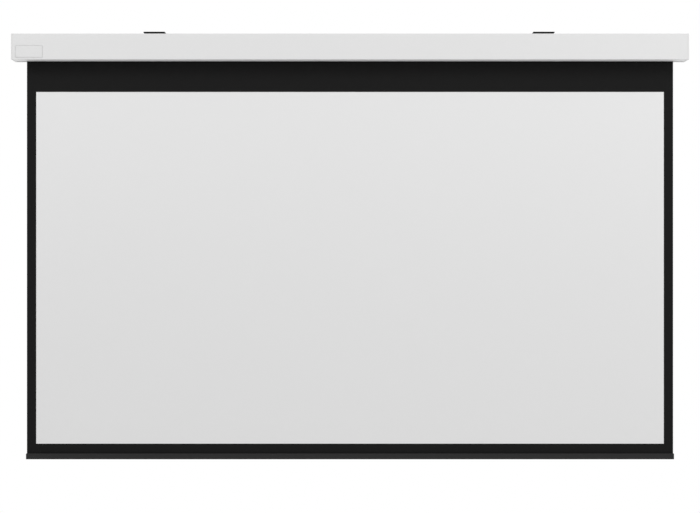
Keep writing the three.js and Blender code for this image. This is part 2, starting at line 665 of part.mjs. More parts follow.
function capWithScrews(sideName, side) {
  const group = new THREE.Group();
  const shape = side < 0 ? leftEndCap() : endCap(side);
  const cap = namedMesh(`${sideName}_end_cap`, shape, FINISHES.capWhite);
  group.add(cap);
  PORT_PLACES.forEach(([y, z], index) => {
    const screw = countersunkScrewAlongX(CAP_SCREW_HEAD_RADIUS, CAP_SCREW_RADIUS, CAP_SCREW_LENGTH);
    const mesh = namedMesh(`${sideName}_cap_screw_${index + 1}`, screw, FINISHES.zinc);
    mesh.position.set(side * (CAP_THICKNESS - CAP_SCREW_SINK), y, z);
    mesh.rotation.z = side > 0 ? 0 : Math.PI;
    group.add(mesh);
  });
  group.position.x = side * SHELL_HALF;
  return group;
}

// Raised bare plate on the case's front, near its left end
function frontPlate() {
  const geometry = new THREE.ExtrudeGeometry(
    roundedRectangle(FRONT_PLATE_LENGTH, FRONT_PLATE_HEIGHT, FRONT_PLATE_CORNER), {
      depth: FRONT_PLATE_THICKNESS - FRONT_PLATE_EDGE,
      bevelEnabled: true,
      bevelThickness: FRONT_PLATE_EDGE,
      bevelSize: FRONT_PLATE_EDGE,
      bevelOffset: -FRONT_PLATE_EDGE,
      bevelSegments: 1,
      curveSegments: CORNER_STEPS,
    });
  geometry.applyMatrix4(SECTION_TOWARDS_FRONT);
  const behind = boxBetween(
    [-FRONT_PLATE_LENGTH, 0, -FRONT_PLATE_HEIGHT],
    [FRONT_PLATE_LENGTH, FRONT_PLATE_THICKNESS, FRONT_PLATE_HEIGHT],
  );
  const plate = solidFrom(geometry).subtract(behind);
  const mesh = namedMesh('front_plate', plate, FINISHES.plateWhite);
  mesh.position.set(
    -CASE_HALF + FRONT_PLATE_END_INSET + FRONT_PLATE_LENGTH / 2,
    FRONT_Y - SEAT_GAP,
    FLOOR_Z + FRONT_PLATE_FLOOR_INSET + FRONT_PLATE_HEIGHT / 2,
  );
  return mesh;
}

// Power inlet: a socket with three flat contacts, its rim on the cap's outer face
function powerInlet() {
  const bodyShape = roundedRectangle(INLET_WIDTH, INLET_HEIGHT, INLET_CORNER);
  const rimShape = roundedRectangle(
    INLET_WIDTH + 2 * INLET_RIM, INLET_HEIGHT + 2 * INLET_RIM, INLET_CORNER);
  const socketShape = roundedRectangle(
    INLET_WIDTH - 2 * INLET_WALL, INLET_HEIGHT - 2 * INLET_WALL, INLET_SOCKET_CORNER);
  const socketFloor = INLET_SOCKET_DEPTH - INLET_RIM_THICKNESS;
  const body = barAlongX(bodyShape, 0, INLET_DEPTH);
  const rim = barAlongX(rimShape, -SEAT_GAP - INLET_RIM_THICKNESS, -SEAT_GAP);
  const neck = barAlongX(bodyShape, -INLET_RIM_THICKNESS, JOIN_OVERLAP);
  const socket = barAlongX(socketShape, -CUT_OVERRUN, socketFloor);
  const contacts = [-1, 0, 1].map((place) => {
    const y = place * CONTACT_SPACING;
    const z = place === 0 ? CONTACT_STEP / 2 : -CONTACT_STEP / 2;
    return boxBetween(
      [socketFloor - CONTACT_LENGTH, y - CONTACT_WIDTH / 2, z - CONTACT_HEIGHT / 2],
      [socketFloor + JOIN_OVERLAP, y + CONTACT_WIDTH / 2, z + CONTACT_HEIGHT / 2],
    );
  });
  const housing = joinAll([body, rim, neck]).subtract(socket);
  const mesh = namedMesh('power_inlet', joinAll([housing, ...contacts]), FINISHES.plasticBlack);
  mesh.position.set(-CASE_HALF, INLET_Y, INLET_Z);
  return mesh;
}

// Receiver box: an open tray, a lid over it and the board inside
function receiverTray() {
  const trayHeight = RECEIVER_HEIGHT - RECEIVER_LID - SEAT_GAP;
  const innerLength = RECEIVER_LENGTH - 2 * RECEIVER_WALL;
  const innerDepth = RECEIVER_DEPTH - 2 * RECEIVER_WALL;
  const outer = extruded(
    roundedRectangle(RECEIVER_LENGTH, RECEIVER_DEPTH, RECEIVER_CORNER), trayHeight);
  const inner = extruded(
    roundedRectangle(innerLength, innerDepth, RECEIVER_INNER_CORNER), trayHeight);
  inner.translate(0, 0, RECEIVER_WALL);
  return solidFrom(outer).subtract(solidFrom(inner));
}

function receiverLid() {
  const plate = extruded(
    roundedRectangle(RECEIVER_LENGTH, RECEIVER_DEPTH, RECEIVER_CORNER), RECEIVER_LID);
  const innerLength = RECEIVER_LENGTH - 2 * (RECEIVER_WALL + FIT_GAP);
  const innerDepth = RECEIVER_DEPTH - 2 * (RECEIVER_WALL + FIT_GAP);
  const rebate = extruded(
    roundedRectangle(innerLength, innerDepth, RECEIVER_INNER_CORNER), RECEIVER_LID);
  rebate.translate(0, 0, JOIN_OVERLAP - RECEIVER_LID);
  return solidFrom(plate).add(solidFrom(rebate));
}

function receiverBoard() {
  const length = RECEIVER_LENGTH - 2 * (RECEIVER_WALL + FIT_GAP);
  const depth = RECEIVER_DEPTH - 2 * (RECEIVER_WALL + FIT_GAP);
  return boxBetween([-length / 2, -depth / 2, 0], [length / 2, depth / 2, BOARD_THICKNESS]);
}

function boardStandoff(x, y) {
  const low = RECEIVER_WALL - JOIN_OVERLAP;
  return rodAlongZ(BOARD_STANDOFF_RADIUS, low, RECEIVER_WALL + BOARD_STANDOFF, x, y);
}

function receiver() {
  const group = new THREE.Group();
  const reachX = RECEIVER_LENGTH / 2 - 2 * RECEIVER_WALL - BOARD_STANDOFF;
  const reachY = RECEIVER_DEPTH / 2 - 2 * RECEIVER_WALL - BOARD_STANDOFF;
  const corners = [[-reachX, -reachY], [reachX, -reachY], [-reachX, reachY], [reachX, reachY]];
  const tray = joinAll([receiverTray(), ...corners.map(([x, y]) => boardStandoff(x, y))]);
  const lid = namedMesh('receiver_lid', receiverLid(), FINISHES.plasticBlack);
  const board = namedMesh('receiver_board', receiverBoard(), FINISHES.boardGreen);
  lid.position.z = RECEIVER_HEIGHT - RECEIVER_LID;
  board.position.z = RECEIVER_WALL + BOARD_STANDOFF + SEAT_GAP;
  group.add(namedMesh('receiver_box', tray, FINISHES.plasticBlack), lid, board);
  group.position.set(RECEIVER_X, RECEIVER_Y, RECEIVER_BASE_Z);
  return group;
}

// A lead swept from one piece to another, square to both where it meets them
function lead(name, radius, start, startDirection, end) {
  const ring = new THREE.Shape();
  ring.absarc(0, 0, radius, 0, FULL_TURN, false);
  const handle = (end.x - start.x) * LEAD_HANDLE_SHARE;
  const curve = new THREE.CubicBezierCurve3(
    start,
    start.clone().addScaledVector(startDirection, handle),
    end.clone().addScaledVector(X_AXIS, -handle),
    end,
  );
  const geometry = new THREE.ExtrudeGeometry(ring, {
    steps: LEAD_STEPS,
    extrudePath: curve,
    curveSegments: LEAD_SIDES / 2,
  });
  return namedMesh(name, solidFrom(geometry), FINISHES.plasticBlack);
}

function leadEntry(sideways) {
  return new THREE.Vector3(
    RECEIVER_X - RECEIVER_LENGTH / 2 - FIT_GAP,
    RECEIVER_Y + sideways,
    RECEIVER_BASE_Z + RECEIVER_HEIGHT / 2,
  );
}

function inletLead() {
  const start = new THREE.Vector3(-CASE_HALF + INLET_DEPTH + FIT_GAP, INLET_Y, INLET_Z);
  return lead('inlet_lead', LEAD_RADIUS, start, X_AXIS, leadEntry(-LEAD_ENTRY_SPACING / 2));
}

function motorLead() {
  const direction = new THREE.Vector3(0, Math.cos(MOTOR_LEAD_ANGLE), Math.sin(MOTOR_LEAD_ANGLE));
  const start = new THREE.Vector3(-PLATE_FACE + MOTOR_LEAD_PLACE, ROLLER_Y, ROLLER_Z);
  start.addScaledVector(direction, HEAD_RADIUS + FIT_GAP);
  return lead('motor_lead', MOTOR_LEAD_RADIUS, start, direction, leadEntry(LEAD_ENTRY_SPACING));
}

// Carrier plate on the cap's pad, with a hole for the motor's square pin or the idler's round one
function carrierPlate(side, centreHole) {
  const shape = roundedRectangle(PLATE_WIDTH, PLATE_HEIGHT, PLATE_CORNER);
  const reach = PLATE_THICKNESS + CUT_OVERRUN;
  const holes = PLATE_SCREW_PLACES.map(([y, z]) =>
    rodAlongX(CAP_SCREW_RADIUS + FIT_GAP, -reach, reach, y, z, SMALL_ROUND_SIDES));
  return cutAll(barAlongX(shape, 0, side * PLATE_THICKNESS), [...holes, centreHole]);
}

function plateScrews(sideName, side) {
  return PLATE_SCREW_PLACES.map(([y, z], index) => {
    const screw = panHeadScrewAlongX(CAP_SCREW_RADIUS, PLATE_THICKNESS + PLATE_SCREW_DEPTH);
    const mesh = namedMesh(`${sideName}_plate_screw_${index + 1}`, screw, FINISHES.zinc);
    mesh.position.set(-side * SEAT_GAP, y, z);
    mesh.rotation.z = side > 0 ? Math.PI : 0;
    return mesh;
  });
}

function limitScrewHole(offset) {
  const radius = LIMIT_SCREW_RADIUS + FIT_GAP;
  const depth = LIMIT_SCREW_LENGTH + LIMIT_SCREW_RECESS + FIT_GAP;
  const hole = new THREE.CylinderGeometry(radius, radius, depth + CUT_OVERRUN, SMALL_ROUND_SIDES);
  const middle = HEAD_RADIUS - (depth - CUT_OVERRUN) / 2;
  hole.translate(0, middle, 0);
  hole.rotateX(LIMIT_SCREW_ANGLE);
  hole.translate(LIMIT_SCREW_PLACE + offset, 0, 0);
  return solidFrom(hole);
}

function motorHead() {
  const turned = turnedAlongX([
    [0, SEAT_GAP],
    [HEAD_FLANGE_RADIUS - HEAD_CHAMFER, SEAT_GAP],
    [HEAD_FLANGE_RADIUS, SEAT_GAP + HEAD_CHAMFER],
    [HEAD_FLANGE_RADIUS, HEAD_FLANGE],
    [HEAD_RADIUS, HEAD_FLANGE],
    [HEAD_RADIUS, HEAD_LENGTH - HEAD_CHAMFER],
    [HEAD_RADIUS - HEAD_CHAMFER, HEAD_LENGTH],
    [0, HEAD_LENGTH],
  ]);
  const half = HEAD_PIN_WIDTH / 2;
  const pinEnd = -PLATE_THICKNESS - HEAD_PIN_REACH;
  const pin = boxBetween([pinEnd, -half, -half], [HEAD_FLANGE, half, half]);
  const offsets = [-LIMIT_SCREW_SPACING / 2, LIMIT_SCREW_SPACING / 2];
  return cutAll(turned.add(pin), offsets.map(limitScrewHole));
}

function limitScrew(name, offset, material) {
  const body = turnedAlongX([
    [0, -LIMIT_SCREW_LENGTH], [LIMIT_SCREW_RADIUS, -LIMIT_SCREW_LENGTH],
    [LIMIT_SCREW_RADIUS, 0], [0, 0],
  ], SMALL_ROUND_SIDES);
  const socket = rodAlongX(
    LIMIT_SCREW_SOCKET_RADIUS, -LIMIT_SCREW_SOCKET_DEPTH, CUT_OVERRUN, 0, 0, HEX_SIDES);
  const mesh = namedMesh(name, body.subtract(socket), material);
  mesh.rotation.order = 'XYZ';
  mesh.rotation.set(LIMIT_SCREW_ANGLE, 0, QUARTER_TURN);
  const place = HEAD_RADIUS - LIMIT_SCREW_RECESS;
  mesh.position.set(
    LIMIT_SCREW_PLACE + offset,
    place * Math.cos(LIMIT_SCREW_ANGLE),
    place * Math.sin(LIMIT_SCREW_ANGLE),
  );
  return mesh;
}

function motorTube() {
  const start = HEAD_LENGTH + SEAT_GAP;
  const end = HEAD_LENGTH + MOTOR_LENGTH;
  const turned = turnedAlongX([
    [0, start], [MOTOR_RADIUS - MOTOR_CHAMFER, start], [MOTOR_RADIUS, start + MOTOR_CHAMFER],
    [MOTOR_RADIUS, end - MOTOR_CHAMFER], [MOTOR_RADIUS - MOTOR_CHAMFER, end], [0, end],
  ]);
  const bore = rodAlongX(
    SHAFT_RADIUS + FIT_GAP, end - SHAFT_DEPTH - FIT_GAP, end + CUT_OVERRUN);
  return turned.subtract(bore);
}

// Motor end: origin on the roller's axis at the left carrier plate's inner face
function motorEnd() {
  const group = new THREE.Group();
  const half = HEAD_PIN_WIDTH / 2 + FIT_GAP;
  const squareHole = boxBetween(
    [-PLATE_THICKNESS - CUT_OVERRUN, -half, -half], [CUT_OVERRUN, half, half]);
  group.add(
    namedMesh('motor_bracket', carrierPlate(-1, squareHole), FINISHES.zinc),
    ...plateScrews('left', -1),
    namedMesh('motor_head', motorHead(), FINISHES.plasticBlack),
    namedMesh('motor_tube', motorTube(), FINISHES.zinc),
    limitScrew('up_limit_screw', -LIMIT_SCREW_SPACING / 2, FINISHES.limitWhite),
    limitScrew('down_limit_screw', LIMIT_SCREW_SPACING / 2, FINISHES.limitYellow),
  );
  group.position.set(-PLATE_FACE, ROLLER_Y, ROLLER_Z);
  return group;
}

// Idler end: a fixed pin that the roller's right plug turns on
function idlerPin() {
  const radius = BUSH_RADIUS - BUSH_WALL - PIN_RUNNING_GAP;
  const inner = PLATE_FACE - TUBE_HALF + PLUG_DEPTH;
  return turnedAlongX([
    [0, PLATE_THICKNESS + PIN_STUD],
    [PIN_STUD_RADIUS, PLATE_THICKNESS + PIN_STUD],
    [PIN_STUD_RADIUS, -SEAT_GAP],
    [PIN_COLLAR_RADIUS, -SEAT_GAP],
    [PIN_COLLAR_RADIUS, -PIN_COLLAR],
    [radius, -PIN_COLLAR],
    [radius, -inner + PIN_CHAMFER],
    [radius - PIN_CHAMFER, -inner],
    [0, -inner],
  ].reverse());
}

function idlerEnd() {
  const group = new THREE.Group();
  const roundHole = rodAlongX(PIN_STUD_RADIUS + FIT_GAP, -CUT_OVERRUN, PLATE_THICKNESS + CUT_OVERRUN);
  group.add(
    namedMesh('idler_bracket', carrierPlate(1, roundHole), FINISHES.zinc),
    ...plateScrews('right', 1),
    namedMesh('idler_pin', idlerPin(), FINISHES.steel),
  );
  group.position.set(PLATE_FACE, ROLLER_Y, ROLLER_Z);
  return group;
}

// Tube with a groove for the clamping strip: a round channel under its rear side, open outwards
function rollerTube() {
  const inside = TUBE_HALF + CUT_OVERRUN;
  const skin = rodAlongX(TUBE_RADIUS, -TUBE_HALF, TUBE_HALF).subtract(
    rodAlongX(TUBE_RADIUS - TUBE_WALL, -inside, inside));
  const grooveWall = rodAlongX(
    GROOVE_RADIUS + GROOVE_WALL, -TUBE_HALF, TUBE_HALF, GROOVE_CENTRE, 0, SMALL_ROUND_SIDES,
  ).intersect(rodAlongX(TUBE_RADIUS, -TUBE_HALF, TUBE_HALF));
  const groove = rodAlongX(
    GROOVE_RADIUS, -inside, inside, GROOVE_CENTRE, 0, SMALL_ROUND_SIDES);
  const mouth = boxBetween(
    [-inside, GROOVE_CENTRE, -GROOVE_MOUTH / 2],
    [inside, TUBE_RADIUS + CUT_OVERRUN, GROOVE_MOUTH / 2],
  );
  return cutAll(skin.add(grooveWall), [groove, mouth]);
}

// The notch in a plug that lets the tube's groove pass and drives the tube
function plugNotch(from, to) {
  const radius = GROOVE_RADIUS + GROOVE_WALL + FIT_GAP;
  const round = rodAlongX(radius, from, to, GROOVE_CENTRE, 0, SMALL_ROUND_SIDES);
  const outward = boxBetween(
    [Math.min(from, to), GROOVE_CENTRE, -radius],
    [Math.max(from, to), TUBE_RADIUS, radius],
  );
  return round.add(outward);
}

// A wheel section: a rim and a hub joined by spokes
function spokedWheel(from, to, rimRadius, hubRadius) {
  const rim = rodAlongX(rimRadius, from, to).subtract(
    rodAlongX(rimRadius - RIM_THICKNESS, from - CUT_OVERRUN, to + CUT_OVERRUN));
  const spokes = [];
  const whole = rodAlongX(rimRadius, from, to);
  for (let index = 0; index < SPOKE_COUNT; index += 1) {
    const spoke = new THREE.BoxGeometry(to - from, rimRadius - JOIN_OVERLAP, SPOKE_WIDTH);
    spoke.translate((from + to) / 2, (rimRadius - JOIN_OVERLAP) / 2, 0);
    spoke.rotateX((FULL_TURN * (index + SPOKE_TURN_SHARE)) / SPOKE_COUNT);
    spokes.push(solidFrom(spoke).intersect(whole));
  }
  return joinAll([rim, rodAlongX(hubRadius, from, to), ...spokes]);
}

function limitCrown() {
  const start = -TUBE_HALF - SEAT_GAP;
  const end = -TUBE_HALF + CROWN_DEPTH;
  const flange = rodAlongX(TUBE_RADIUS, start - PLUG_FLANGE, start);
  const sleeve = rodAlongX(PLUG_RADIUS, start - JOIN_OVERLAP, end)
    .subtract(plugNotch(start, end + CUT_OVERRUN));
  const bore = rodAlongX(
    MOTOR_RADIUS + FIT_GAP, start - PLUG_FLANGE - CUT_OVERRUN, end + CUT_OVERRUN);
  return flange.add(sleeve).subtract(bore);
}

function outputShaft() {
  const neckEnd = MOTOR_END_X + SHAFT_NECK;
  const journal = rodAlongX(SHAFT_RADIUS, MOTOR_END_X - SHAFT_DEPTH, neckEnd + JOIN_OVERLAP);
  const hexagon = rodAlongX(SHAFT_HEX_RADIUS, neckEnd, MOTOR_END_X + SHAFT_REACH, 0, 0, HEX_SIDES);
  return journal.add(hexagon);
}

function driveWheel() {
  const start = MOTOR_END_X + SHAFT_NECK + FIT_GAP;
  const end = start + DRIVE_WHEEL_DEPTH;
  const wheel = spokedWheel(start, end, PLUG_RADIUS, PLUG_HUB_RADIUS);
  const socket = rodAlongX(
    SHAFT_HEX_RADIUS + FIT_GAP, start - CUT_OVERRUN, end + CUT_OVERRUN, 0, 0, HEX_SIDES);
  return cutAll(wheel, [plugNotch(start - CUT_OVERRUN, end + CUT_OVERRUN), socket]);
}

function idlerPlug() {
  const start = TUBE_HALF - PLUG_DEPTH;
  const end = TUBE_HALF + SEAT_GAP;
  const wheel = spokedWheel(start, end + JOIN_OVERLAP, PLUG_RADIUS, PLUG_HUB_RADIUS)
    .subtract(plugNotch(start - CUT_OVERRUN, end));
  const flange = rodAlongX(TUBE_RADIUS, end, end + PLUG_FLANGE);
  const bore = rodAlongX(
    BUSH_RADIUS + FIT_GAP, start - CUT_OVERRUN, end + PLUG_FLANGE + CUT_OVERRUN);
  return wheel.add(flange).subtract(bore);
}

function idlerBush() {
  const start = TUBE_HALF - PLUG_DEPTH;
  const face = TUBE_HALF + SEAT_GAP + PLUG_FLANGE + SEAT_GAP;
  const sleeve = rodAlongX(BUSH_RADIUS, start, face + JOIN_OVERLAP);
  const flange = rodAlongX(BUSH_FLANGE_RADIUS, face, face + BUSH_FLANGE);
  const bore = rodAlongX(
    BUSH_RADIUS - BUSH_WALL, start - CUT_OVERRUN, face + BUSH_FLANGE + CUT_OVERRUN);
  return sleeve.add(flange).subtract(bore);
}

// Wraps that stay on the tube: one strip wound inwards from the sheet's tangent point
function sheetWraps() {
  const steps = ROUND_SIDES * WRAP_TURNS;
  const shape = new THREE.Shape();
  const pointAt = (index, sideways) => {
    const firstAngle = FIT_GAP / SHEET_RADIUS;
    const angle = firstAngle + (index / steps) * (WRAP_TURNS * FULL_TURN - 2 * firstAngle);
    const radius = SHEET_RADIUS - (WRAP_PITCH * angle) / FULL_TURN + sideways;
    return [radius * Math.cos(angle), radius * Math.sin(angle)];
  };
  shape.moveTo(...pointAt(0, SHEET_THICKNESS / 2));
  for (let index = 1; index <= steps; index += 1) {
    shape.lineTo(...pointAt(index, SHEET_THICKNESS / 2));
  }
  for (let index = steps; index >= 0; index -= 1) {
    shape.lineTo(...pointAt(index, -SHEET_THICKNESS / 2));
  }
  shape.closePath();
  return barAlongX(shape, -SHEET_WIDTH / 2, SHEET_WIDTH / 2);
}

function roller() {
  const group = new THREE.Group();
  const strip = rodAlongX(
    GROOVE_RADIUS - FIT_GAP, -SHEET_WIDTH / 2, SHEET_WIDTH / 2, GROOVE_CENTRE, 0, SMALL_ROUND_SIDES);
  group.add(
    namedMesh('roller_tube', rollerTube(), FINISHES.aluminium),
    namedMesh('clamping_strip', strip, FINISHES.nylon),
    namedMesh('limit_crown', limitCrown(), FINISHES.nylon),
    namedMesh('output_shaft', outputShaft(), FINISHES.steel),
    namedMesh('drive_wheel', driveWheel(), FINISHES.nylon),
    namedMesh('idler_plug', idlerPlug(), FINISHES.nylon),
    namedMesh('idler_bush', idlerBush(), FINISHES.bronze),
    namedMesh('sheet_wraps', sheetWraps(), FINISHES.borderBlack),
  );
  group.position.set(0, ROLLER_Y, ROLLER_Z);
  return group;
}

// Hanging sheet and the black film that frames the picture
function screenSheet() {
  const height = SHEET_TOP_Z - SHEET_END_Z;
  const geometry = new THREE.BoxGeometry(SHEET_WIDTH, SHEET_THICKNESS, height);
  const mesh = namedMesh('screen_sheet', solidFrom(geometry), FINISHES.sheetWhite);
  mesh.position.set(0, SHEET_Y, (SHEET_TOP_Z + SHEET_END_Z) / 2);
  return mesh;
}

function rectanglePath(kind, halfWidth, low, high) {
  const path = new kind();
  path.moveTo(-halfWidth, low);
  path.lineTo(halfWidth, low);
  path.lineTo(halfWidth, high);
  path.lineTo(-halfWidth, high);
  path.closePath();
  return path;
}

function blackBorder() {
  const shape = rectanglePath(THREE.Shape, SHEET_WIDTH / 2, SHEET_END_Z, SHEET_TOP_Z);
  const pictureLow = BAR_TOP_Z + BOTTOM_BORDER;
  const pictureTop = pictureLow + PICTURE_HEIGHT;
  shape.holes.push(rectanglePath(THREE.Path, PICTURE_WIDTH / 2, pictureLow, pictureTop));
  const geometry = extruded(shape, FILM_THICKNESS);
  geometry.applyMatrix4(SECTION_TOWARDS_FRONT);
  const mesh = namedMesh('black_border', solidFrom(geometry), FINISHES.borderBlack);
  mesh.position.y = SHEET_Y - SHEET_THICKNESS / 2 - SEAT_GAP;
  return mesh;
}

// Bottom bar: upper channel for the hem, lower chamber for the weight
function chamberShape(inset) {
  const height = CHAMBER_TOP - CHAMBER_LOW - 2 * inset;
  const middle = (CHAMBER_TOP + CHAMBER_LOW) / 2;
  return roundedRectangle(CHAMBER_WIDTH - 2 * inset, height, CHAMBER_CORNER, 0, middle);
}

function barProfile() {
  const end = BAR_HALF - BAR_CAP_THICKNESS - SEAT_GAP;
  const reach = end + CUT_OVERRUN;
  const outline = barAlongX(roundedRectangle(BAR_DEPTH, BAR_HEIGHT, BAR_CORNER), -end, end);
  const channel = rodAlongX(HEM_CHANNEL_RADIUS, -reach, reach, 0, HEM_Z, MEDIUM_ROUND_SIDES);
  const mouth = boxBetween([-reach, -HEM_MOUTH / 2, HEM_Z], [reach, HEM_MOUTH / 2, BAR_HEIGHT]);
  return cutAll(outline, [channel, mouth, barAlongX(chamberShape(0), -reach, reach)]);
}

// The hem's loop round its rod, open at the top where it joins the sheet
function hemLoop() {
  const inner = HEM_LOOP_RADIUS - SHEET_THICKNESS;
  const from = QUARTER_TURN + HEM_GAP_ANGLE;
  const to = QUARTER_TURN + FULL_TURN - HEM_GAP_ANGLE;
  const shape = new THREE.Shape();
  shape.absarc(0, HEM_Z, HEM_LOOP_RADIUS, from, to, false);
  shape.absarc(0, HEM_Z, inner, to, from, true);
  shape.closePath();
  return barAlongX(shape, -SHEET_WIDTH / 2, SHEET_WIDTH / 2, HEM_STEPS);
}

function barCap(side) {
  const thickness = BAR_CAP_THICKNESS;
  const plate = roundedRectangle(BAR_DEPTH, BAR_HEIGHT, BAR_CORNER);
  const faceOn = new THREE.Shape();
  const top = BAR_HEIGHT / 2;
  faceOn.moveTo(-thickness, -top);
  faceOn.lineTo(0, -top);
  faceOn.lineTo(0, top - BAR_CAP_CORNER);
  faceOn.absarc(-BAR_CAP_CORNER, top - BAR_CAP_CORNER, BAR_CAP_CORNER, 0, QUARTER_TURN, false);
  faceOn.lineTo(-thickness, top);
  faceOn.closePath();
  const rounded = extruded(faceOn, BAR_DEPTH);
  rounded.applyMatrix4(SECTION_TOWARDS_FRONT);
  rounded.translate(0, BAR_DEPTH / 2, 0);
  if (side < 0) {
    rounded.rotateZ(Math.PI);
  }
  const cover = barAlongX(plate, 0, -side * thickness).intersect(solidFrom(rounded));
  const plugStart = -side * (thickness - JOIN_OVERLAP);
  const plug = barAlongX(chamberShape(FIT_GAP), plugStart, -side * (thickness + BAR_CAP_PLUG));
  return cover.add(plug);
}

function bottomBar() {
  const group = new THREE.Group();
  const weightEnd = BAR_HALF - BAR_CAP_THICKNESS - BAR_CAP_PLUG - ROD_END_GAP;
  const weight = rodAlongX(WEIGHT_ROD_RADIUS, -weightEnd, weightEnd, 0, 0, MEDIUM_ROUND_SIDES);
  const hemRod = rodAlongX(
    HEM_ROD_RADIUS, -SHEET_WIDTH / 2, SHEET_WIDTH / 2, 0, HEM_Z, SMALL_ROUND_SIDES);
  const weightMesh = namedMesh('weight_rod', weight, FINISHES.steel);
  weightMesh.position.z = CHAMBER_LOW + SEAT_GAP + WEIGHT_ROD_RADIUS;
  group.add(
    namedMesh('bar_profile', barProfile(), FINISHES.barBlack),
    namedMesh('hem_rod', hemRod, FINISHES.nylon),
    namedMesh('hem_loop', hemLoop(), FINISHES.borderBlack),
    weightMesh,
  );
  for (const [sideName, side] of [['left', -1], ['right', 1]]) {
    const cap = namedMesh(`${sideName}_bar_cap`, barCap(side), FINISHES.plasticBlack);
    cap.position.x = side * BAR_HALF;
    group.add(cap);
  }
  group.position.set(0, SHEET_Y, BAR_TOP_Z - BAR_HEIGHT / 2);
  return group;
}

// Hanging bracket: origin where its ceiling face meets its wall face
function bracketSection() {
  const outerBend = BRACKET_BEND + BRACKET_THICKNESS;
  const shape = new THREE.Shape();
  shape.moveTo(-BRACKET_REACH, 0);
  shape.lineTo(-BRACKET_REACH, -BRACKET_THICKNESS);
  shape.lineTo(-outerBend, -BRACKET_THICKNESS);
  shape.absarc(-outerBend, -outerBend, BRACKET_BEND, QUARTER_TURN, 0, true);
  shape.lineTo(-BRACKET_THICKNESS, -BRACKET_WALL_LEG);
  shape.lineTo(0, -BRACKET_WALL_LEG);
  shape.lineTo(0, -outerBend);
  shape.absarc(-outerBend, -outerBend, outerBend, 0, QUARTER_TURN, false);
  shape.closePath();
  return shape;
}

// Rounds the two free corners of a leg, seen square on
function legOutline(length) {
  const half = BRACKET_WIDTH / 2;
  const cornerX = half - BRACKET_CORNER;
  const cornerY = BRACKET_CORNER - length;
  const shape = new THREE.Shape();
  shape.moveTo(-half, CUT_OVERRUN);
  shape.lineTo(-half, cornerY);
  shape.absarc(-cornerX, cornerY, BRACKET_CORNER, Math.PI, Math.PI + QUARTER_TURN, false);
  shape.lineTo(cornerX, -length);
  shape.absarc(cornerX, cornerY, BRACKET_CORNER, -QUARTER_TURN, 0, false);
  shape.lineTo(half, CUT_OVERRUN);
  shape.closePath();
  return shape;
}

function slottedHole(roundAt, boxLow, boxHigh) {
  const half = BRACKET_SLOT_LENGTH / 2 - BRACKET_SLOT_RADIUS;
  return joinAll([roundAt(-half), roundAt(half), boxBetween(boxLow(-half), boxHigh(half))]);
}

function ceilingSlot(x) {
  const y = (TRACK_PLACES[0] + TRACK_PLACES[1]) / 2;
  const low = -BRACKET_THICKNESS - CUT_OVERRUN;
  return slottedHole(
    (offset) => rodAlongZ(BRACKET_SLOT_RADIUS, low, CUT_OVERRUN, x + offset, y),
    (offset) => [x + offset, y - BRACKET_SLOT_RADIUS, low],
    (offset) => [x + offset, y + BRACKET_SLOT_RADIUS, CUT_OVERRUN],
  );
}

function wallSlot(x) {
  const z = -BRACKET_WALL_SLOT_DROP;
  const low = -BRACKET_THICKNESS - CUT_OVERRUN;
  return slottedHole(
    (offset) => rodAlongY(BRACKET_SLOT_RADIUS, low, CUT_OVERRUN, x, z + offset),
    (offset) => [x - BRACKET_SLOT_RADIUS, low, z + offset],
    (offset) => [x + BRACKET_SLOT_RADIUS, CUT_OVERRUN, z + offset],
  );
}

function clampHole(y) {
  const head = CLAMP_SCREW_HEAD_RADIUS + FIT_GAP;
  const shank = CLAMP_SCREW_RADIUS + FIT_GAP;
  return turnedAlongZ([
    [0, -BRACKET_THICKNESS - CUT_OVERRUN], [shank, -BRACKET_THICKNESS - CUT_OVERRUN],
    [shank, shank - head], [head, 0], [head, CUT_OVERRUN], [0, CUT_OVERRUN],
  ], SMALL_ROUND_SIDES, y);
}

function bracketPlate() {
  const folded = barAlongX(bracketSection(), -BRACKET_WIDTH / 2, BRACKET_WIDTH / 2);
  const plan = extruded(legOutline(BRACKET_REACH), 2 * BRACKET_WALL_LEG);
  plan.translate(0, 0, -2 * BRACKET_WALL_LEG + CUT_OVERRUN);
  const elevation = extruded(legOutline(BRACKET_WALL_LEG), 2 * BRACKET_REACH);
  elevation.applyMatrix4(SECTION_TOWARDS_FRONT);
  elevation.translate(0, CUT_OVERRUN, 0);
  const trimmed = folded.intersect(solidFrom(plan)).intersect(solidFrom(elevation));
  const half = BRACKET_SLOT_SPACING / 2;
  return cutAll(trimmed, [
    ceilingSlot(-half),
    ceilingSlot(half),
    wallSlot(-half),
    wallSlot(half),
    ...TRACK_PLACES.map(clampHole),
  ]);
}

// Sliding nut: a flat nut in the track, with a round neck up to the bracket
function slidingNut() {
  const neckTop = -BRACKET_THICKNESS - SEAT_GAP;
  const nutTop = -BRACKET_THICKNESS - TOP_GAP - TRACK_LIP - FIT_GAP;
  const body = boxBetween(
    [-NUT_LENGTH / 2, -NUT_WIDTH / 2, nutTop - NUT_THICKNESS],
    [NUT_LENGTH / 2, NUT_WIDTH / 2, nutTop],
  );
  const neck = rodAlongZ(NUT_NECK_RADIUS, nutTop - JOIN_OVERLAP, neckTop);
  const boreLow = nutTop - NUT_THICKNESS - CUT_OVERRUN;
  const bore = rodAlongZ(CLAMP_SCREW_RADIUS + FIT_GAP, boreLow, CUT_OVERRUN);
  return body.add(neck).subtract(bore);
}

